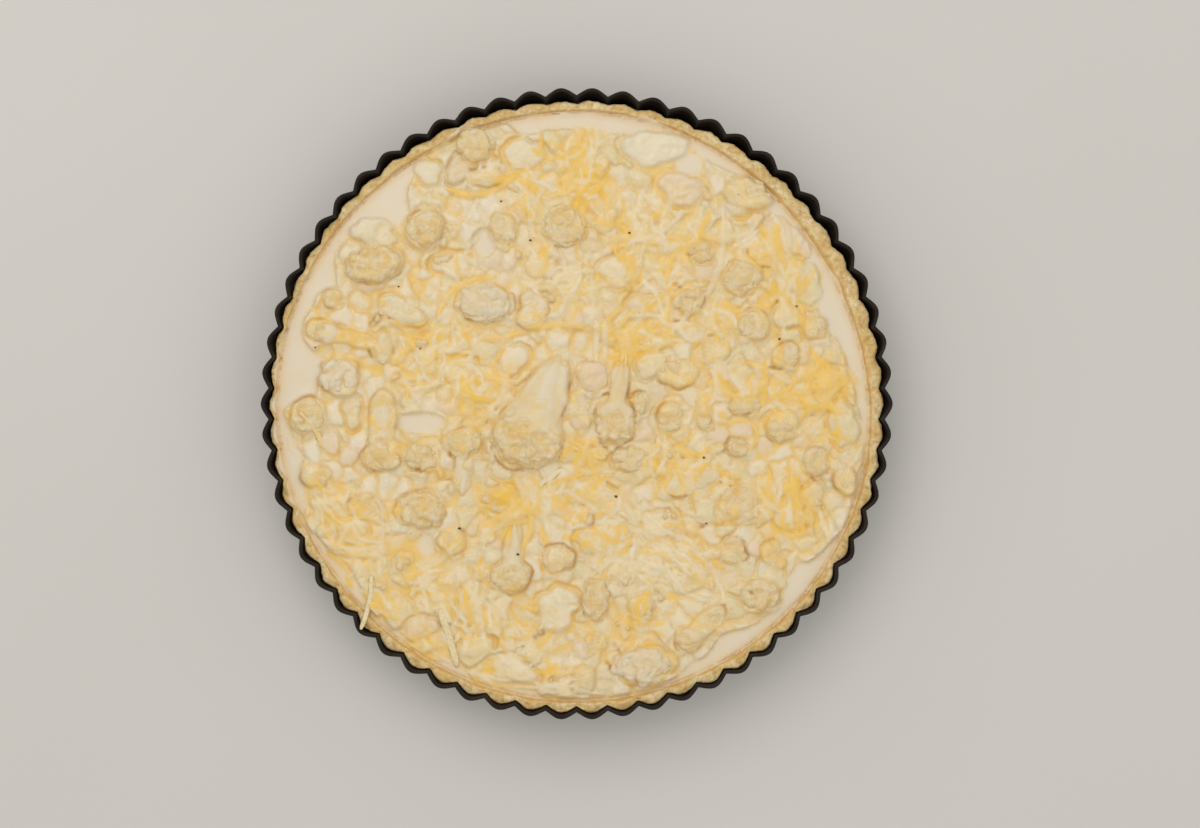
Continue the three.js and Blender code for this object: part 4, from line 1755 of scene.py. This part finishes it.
HANDFULS = tuple(
    Handful(*row)
    for row in (
        (1, 101, 8, 14, 0.8, 0.7), (2, 88, 9, 22, 0.8, 1.0), (28, 68, 17, 60, 0.4, 0.5),
        (42, 64, 12, 30, 0.5, 0.5), (80, 62, 8, 18, 0.7, 0.8, -75),
        (84, 46, 8, 20, 0.7, 0.8, -75), (20, 24, 8, 24, 1.0, 1.1), (32, 26, 9, 14, 0.6, 0.6, 0),
        (38, 36, 10, 22, 0.4, 0.4), (-61, 15, 12, 38, 0.5, 0.7), (-64, 24, 8, 14, 0.6, 0.8),
        (-42, 4, 9, 26, 0.6, 0.8), (-45, 30, 9, 14, 0.4, 0.3), (102, 7, 9, 26, 1.0, 1.2),
        (82, 4, 10, 22, 0.5, 0.5), (3, -20, 7, 16, 0.8, 0.9), (38, -22, 11, 26, 0.6, 0.5),
        (-28, -46, 10, 18, 0.8, 0.8, 35), (88, -42, 10, 28, 0.8, 1.1, -80),
        (80, -36, 8, 14, 0.6, 0.6, 90), (-88, -60, 10, 20, 0.5, 0.7),
        (-98, -44, 10, 20, 0.5, 0.6, -50), (8, -40, 13, 30, 0.5, 0.5),
        (-40, -84, 14, 36, 0.4, 0.4, -75), (38, -62, 17, 70, 0.25, 0.3, -35),
        (14, -58, 12, 26, 0.3, 0.3), (-15, -38, 10, 16, 0.4, 0.4), (-15, 62, 10, 16, 0.5, 0.5),
        (0, 50, 13, 26, 0.4, 0.4), (-48, 52, 10, 12, 0.3, 0.2), (60, 8, 10, 20, 0.4, 0.5),
        (96, -10, 9, 10, 0.5, 0.3), (-30, 8, 10, 18, 0.5, 0.5), (26, -92, 11, 14, 0.4, 0.6),
        (66, 68, 9, 12, 0.4, 0.3), (-62, -72, 11, 18, 0.4, 0.7), (-18, -98, 13, 18, 0.4, 0.3),
        (60, 36, 10, 18, 0.4, 0.4), (-20, 84, 11, 12, 0.4, 0.3), (56, -26, 9, 14, 0.4, 0.4),
        (-98, -64, 9, 14, 0.4, 0.6, -55), (-83, -81, 9, 16, 0.4, 0.6, -48),
        (-63, -99, 9, 14, 0.5, 0.7, -32), (-36, -113, 10, 12, 0.4, 0.6, -15),
        (-10, -116, 10, 10, 0.4, 0.5, 0), (-100, 62, 9, 6, 0.3, 0.2, 58),
        (-112, -8, 7, 6, 0.3, 0.2, 90),
    )
)


@dataclass(frozen=True)
class Strand:
    """A long shred that stands out, by the points of its route in mm."""

    points: tuple[Pair, ...]
    width: float
    tone: Tone
    is_proud: bool = False  # it lies on the crust or on florets


STRANDS = (
    Strand(((-29, 27), (-18, 31), (-4, 33), (5, 30)), 2.8, Tone.DEEP),
    Strand(((33, 36), (37, 31), (43, 33), (47, 39), (51, 46)), 2.2, Tone.PALE),
    Strand(((60, -8), (66, -6), (73, -8), (75, -14), (71, -19)), 2.0, Tone.DEEP),
    Strand(((-84, -70), (-84, -77), (-86, -86), (-88, -92)), 2.2, Tone.PALE, True),
    Strand(((-56, -84), (-52, -96), (-49, -108)), 3.2, Tone.PALE, True),
    Strand(((-53, 88), (-46, 85), (-36, 86), (-26, 92)), 3.0, Tone.DEEP),
    Strand(((-57, 36), (-53, 45), (-44, 51), (-33, 52)), 3.0, Tone.DEEP),
    Strand(((8, 34), (8, 25), (8, 18)), 2.8, Tone.PALE),
    Strand(((11.5, 34), (11.5, 25), (11.5, 18)), 2.6, Tone.PALE),
    Strand(((-25, -62), (-18, -52), (-20, -40)), 2.6, Tone.DEEP),
    Strand(((-38, -50), (-30, -46), (-21, -38)), 3.0, Tone.DEEP),
    Strand(((60, 82), (60, 60), (54, 45), (44, 37)), 2.6, Tone.PALE),
)


@dataclass
class GratedCheese:
    """Shreds of cheese, dropped one by one: most melt into the surface, some lie on it."""

    custard: Custard
    rings: int = 14
    sides: int = 8
    width: Pair = (1.2 * MM, 2.5 * MM)
    length: Pair = (5 * MM, 20 * MM)
    thickness: float = 0.8 * MM
    step: float = 0.6 * MM  # between the points of a route
    proud_share: float = 0.01
    plenty: float = 1.7  # shreds dropped for each that a handful counts
    rise_mm: Pair = (0.1, 0.45)  # of a melted shred
    strand_rise: float = 0.7 * MM
    strand_lift: float = 0.25 * MM  # of a strand on the crust or on florets
    rim_radius: float = 125.5 * MM  # past which a shred lies on the tin's rim

    def __post_init__(self) -> None:
        """Starts the pile from the custard and the florets."""
        c = self.custard
        rim = np.where(c.m.radius > self.rim_radius, TIN_TOP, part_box("crust")[1].z)
        self.pile = np.where(c.gap < 0, rim, np.maximum(c.height, c.tops))
        self.shreds = {tone: bmesh.new() for tone in Tone}
        self.films: dict[Tone, list[float]] = {tone: [] for tone in Tone}
        bm = bmesh.new()
        along = Matrix.Translation((0.5, 0, 0)) @ Matrix.Rotation(math.pi / 2, 4, "Y")
        rod = {"segments": self.sides, "radius1": 1, "radius2": 1, "depth": 1, "matrix": along}
        bmesh.ops.create_cone(bm, cap_ends=True, **rod)
        sides = [e for e in bm.edges if abs(e.verts[0].co.x - e.verts[1].co.x) > 0.5]
        bmesh.ops.subdivide_edges(bm, edges=sides, cuts=self.rings - 1)
        self.template = bpy.data.meshes.new("shred_template")
        bm.to_mesh(self.template)
        bm.free()

    def scatter(self) -> None:
        """Drops every handful and then the strands."""
        chance = random.Random(62)
        drops = [h for h in HANDFULS for _ in range(round(self.plenty * h.count))]
        chance.shuffle(drops)
        for handful in drops:
            self._drop(handful, chance)
        for strand in STRANDS:
            corners = np.array(strand.points) * MM
            reach = np.linalg.norm(np.diff(corners, axis=0), axis=1).sum()
            steps = np.linspace(0, len(corners) - 1, int(reach / self.step) + 2)
            rows = [np.interp(steps, range(len(corners)), column) for column in corners.T]
            route = smoothed(np.column_stack(rows), 60)
            if strand.is_proud:
                self._lay(route, strand.width * MM, strand.tone, 0.0, self.strand_lift)
            else:
                fat, white = (0.75, 0.0) if strand.tone is Tone.DEEP else (0.1, 0.7)
                self.custard.press(route, strand.width * MM, fat, white, self.strand_rise)

    def _drop(self, handful: Handful, chance: random.Random) -> None:
        """Drops one curling shred of a handful.

        Args:
            handful: the patch that it belongs to.
            chance: what its place and shape are drawn from.
        """
        out = handful.spread * abs(chance.gauss(0, 0.7))
        way = chance.uniform(0, math.tau)
        heading = chance.uniform(0, math.tau)
        if handful.heading is not None:
            heading = math.radians(handful.heading + chance.gauss(0, 22))
        s = np.linspace(-0.5, 0.5, int(chance.uniform(*self.length) / self.step))
        curl, wriggle = chance.gauss(0, 0.6), chance.uniform(-0.35, 0.35)
        turn = heading + 2 * curl * s + wriggle * np.sin(2 * math.tau * s)
        route = np.cumsum(np.column_stack([np.cos(turn), np.sin(turn)]), axis=0) * self.step
        spot = (handful.x + out * math.cos(way), handful.y + out * math.sin(way))
        route += np.array(spot) * MM - route.mean(0)
        tone = Tone.DEEP if chance.random() < handful.deep else Tone.PALE
        width, film = chance.uniform(*self.width), chance.random()
        c = self.custard
        if c.m.at(c.gap, *route.T).min() < 2 * MM:
            return
        on_floret = c.m.at(c.tops - c.height, *route.T).max() > 0.4 * MM
        if chance.random() < self.proud_share:
            self._lay(route, width, tone, film)
        elif not on_floret:
            fat = 0.5 + 0.5 * film if tone is Tone.DEEP else 0.3 * film * handful.fat
            white = 0.2 * (1 - film) if tone is Tone.DEEP else 0.5 + 0.5 * (1 - film)
            c.press(route, width, fat, white, chance.uniform(*self.rise_mm) * MM)

    def _lay(
        self, route: ndarray, width: float, tone: Tone, film: float, lift: float = 0.0
    ) -> None:
        """Lays one shred along a route over the pile.

        Args:
            route: rows of x, y in metres, evenly spaced.
            width: the shred's width in metres.
            tone: which cheese it is.
            film: how much custard covers it, 0 to 1.
            lift: how much higher than the others it lies, in metres.
        """
        m = self.custard.m
        ground = m.at(self.pile, *route.T)
        height = ground.copy()
        for _ in range(30):  # the shred is too stiff to follow every dip
            padded = np.pad(height, 1, "edge")
            height = 0.25 * padded[:-2] + 0.5 * height + 0.25 * padded[2:]
        height = np.maximum(height, ground - 0.4 * self.thickness)
        height += self.thickness * (0.05 - 0.2 * film) + lift
        part, nearest, away = m.beside(route, width)
        under = np.maximum(self.pile[part], height[nearest] + 0.3 * self.thickness)
        self.pile[part] = np.where(away < 0.45 * width, under, self.pile[part])
        self._model(np.column_stack([route, height]), width, tone)
        self.films[tone] += [film] * len(self.template.vertices)

    def _model(self, path: ndarray, width: float, tone: Tone) -> None:
        """Bends the template along a path.

        Args:
            path: rows of x, y, z in metres.
            width: the shred's width in metres.
            tone: which cheese it is.
        """
        bm = self.shreds[tone]
        bm.from_mesh(self.template)
        bm.verts.ensure_lookup_table()
        steps = np.linspace(0, 1, len(path))
        ahead = np.gradient(path, axis=0)
        ahead /= np.linalg.norm(ahead, axis=1)[:, None]
        for vert in bm.verts[-len(self.template.vertices) :]:
            share = min(max(vert.co.x, 0.0), 1.0)
            spot, way = (
                Vector([np.interp(share, steps, column) for column in rows.T])
                for rows in (path, ahead)
            )
            side = way.cross(Vector((0, 0, 1))).normalized()
            taper = 0.4 + 0.6 * min(1.0, 6 * min(share, 1 - share)) ** 0.6
            across = side * (vert.co.y * width / 2 * taper)
            vert.co = spot + across + side.cross(way) * (vert.co.z * self.thickness / 2 * taper)

    def build(self) -> list[Object]:
        """Joins the shreds of each tone into one piece.

        Returns:
            The two pieces.
        """
        looks = {Tone.DEEP: DEEP_CHEESE, Tone.PALE: PALE_CHEESE}
        pieces = []
        for tone, bm in self.shreds.items():
            bmesh.ops.recalc_face_normals(bm, faces=bm.faces)
            made = as_object(f"cheese_shreds_{tone.value}", bm, looks[tone].material())
            put_stains(made.data, film=np.array(self.films[tone]))
            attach(made, BODY)
            pieces.append(made)
        return pieces


# ---------- pepper
@dataclass
class Pepper:
    """Specks of cracked black pepper lying on the top."""

    places_mm: tuple[Pair, ...] = (
        (-31, 83), (-19, 67), (21.5, 70), (-73, 48), (-107, 23), (-64, 22.5), (83, 26.5),
        (90, 40), (16, -38), (52, -22), (-48, -51), (-24, -61.5), (53, -49),
    )
    size: Pair = (0.5 * MM, 0.8 * MM)

    def build(self, m: TopMap, pile: ndarray) -> Object:
        """Makes the specks as one joined mesh.

        Args:
            m: the grid of the top.
            pile: the height of everything under them.

        Returns:
            The specks.
        """
        chance = random.Random(7)
        bm = bmesh.new()
        for x, y in self.places_mm:
            size = chance.uniform(*self.size)
            z = float(m.at(pile, x * MM, y * MM)) + 0.3 * size
            sizes = (size, size * chance.uniform(0.6, 0.9), size * 0.7)
            add_ball(bm, (x * MM, y * MM, z), sizes, 1)
        made = as_object("cracked_pepper", bm, PEPPER.material())
        made.data.shade_flat()
        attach(made, BODY)
        return made


# ---------- studio
@dataclass(frozen=True)
class Softbox:
    """A square soft light aimed at the quiche. Lengths in metres."""

    name: str
    place: tuple[float, float, float]
    side: float
    watts: float

    def build(self) -> None:
        """Adds the light."""
        data = bpy.data.lights.new(self.name, "AREA")
        data.size, data.energy = self.side, self.watts
        light = bpy.data.objects.new(self.name, data)
        light.location = self.place
        light.rotation_euler = (-Vector(self.place)).to_track_quat("-Z", "Y").to_euler()
        bpy.context.scene.collection.objects.link(light)


@dataclass
class Studio:
    """A plain pale floor, soft light and the camera straight above."""

    lights: tuple[Softbox, ...] = (
        Softbox("key", (-0.3, 0.6, 1.0), 0.9, 4.0),
        Softbox("fill", (0.8, -0.3, 0.9), 1.0, 1.0),
    )
    floor_half: float = 6.0
    floor_colours: tuple[str, str] = ("#C9C4BC", "#D0CBC4")
    floor_cloud_mm: float = 300.0
    air: float = 0.76  # strength of the light from all round
    camera_place: tuple[float, float, float] = (9.5 * MM, -4.2 * MM, 900 * MM)
    lens_mm: float = 64.2
    sensor_mm: float = 36.0
    nearest: float = 10 * MM  # that the camera sees

    def build(self) -> None:
        """Makes the floor, the lights and the camera."""
        scene = bpy.context.scene
        scene.view_settings.view_transform = "Standard"
        scene.view_settings.look = "None"
        self._floor()
        world = bpy.data.worlds.new("studio_air")
        world.use_nodes = True
        air = world.node_tree.nodes["Background"].inputs
        air["Color"].default_value = linear("#FFFFFF")
        air["Strength"].default_value = self.air
        scene.world = world
        for light in self.lights:
            light.build()
        camera = bpy.data.objects.new("camera", bpy.data.cameras.new("camera"))
        camera.location = self.camera_place
        camera.data.lens = self.lens_mm
        camera.data.sensor_width = self.sensor_mm
        camera.data.clip_start = self.nearest
        scene.collection.objects.link(camera)
        scene.camera = camera

    def _floor(self) -> None:
        """Makes the floor of matt paper, a little cloudy."""
        paper, place = blank_material("matt_paper_floor")
        tree = paper.node_tree
        cloud = cloudy(self.floor_cloud_mm)
        share = add_node(tree, "ShaderNodeTexNoise", cloud, {"Vector": place})
        colour = painted(tree, self.floor_colours[0], [(self.floor_colours[1], share)])
        finish_off(tree, {"Roughness": 0.9}, {"Base Color": colour})
        bm = bmesh.new()
        bmesh.ops.create_grid(bm, x_segments=1, y_segments=1, size=self.floor_half)
        as_object("studio_floor", bm, paper)


# ---------- assembly
def report(*pieces: Object) -> None:
    """Logs finished pieces with their sizes."""
    for piece in pieces:
        LOG.info("%s: %d faces", piece.name, len(piece.data.polygons))


def main() -> None:
    """Builds the quiche from the tin inwards and then the studio round it."""
    logging.basicConfig(level=logging.INFO, format="%(message)s")
    report(FlutedTin().build())
    crust = PastryShell().build()
    report(crust)
    finishes = {"curd": CURD.material(), "stalk": STALK.material()}
    names = sorted(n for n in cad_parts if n.startswith(("floret", "stalk", "slab")))
    florets = [CauliflowerPiece(name).build(finishes) for name in names]
    report(*florets)
    custard = Custard(TopMap(), florets, crust)
    crumbs = CurdCrumbs(custard).build(finishes["curd"])
    report(crumbs)
    custard.settle([crumbs])
    cheese = GratedCheese(custard)
    cheese.scatter()
    report(custard.build())
    custard.stain([*florets, crumbs])
    report(*cheese.build())
    report(Pepper().build(custard.m, np.maximum(cheese.pile, custard.height)))
    Studio().build()


if __name__ == "__main__":
    main()
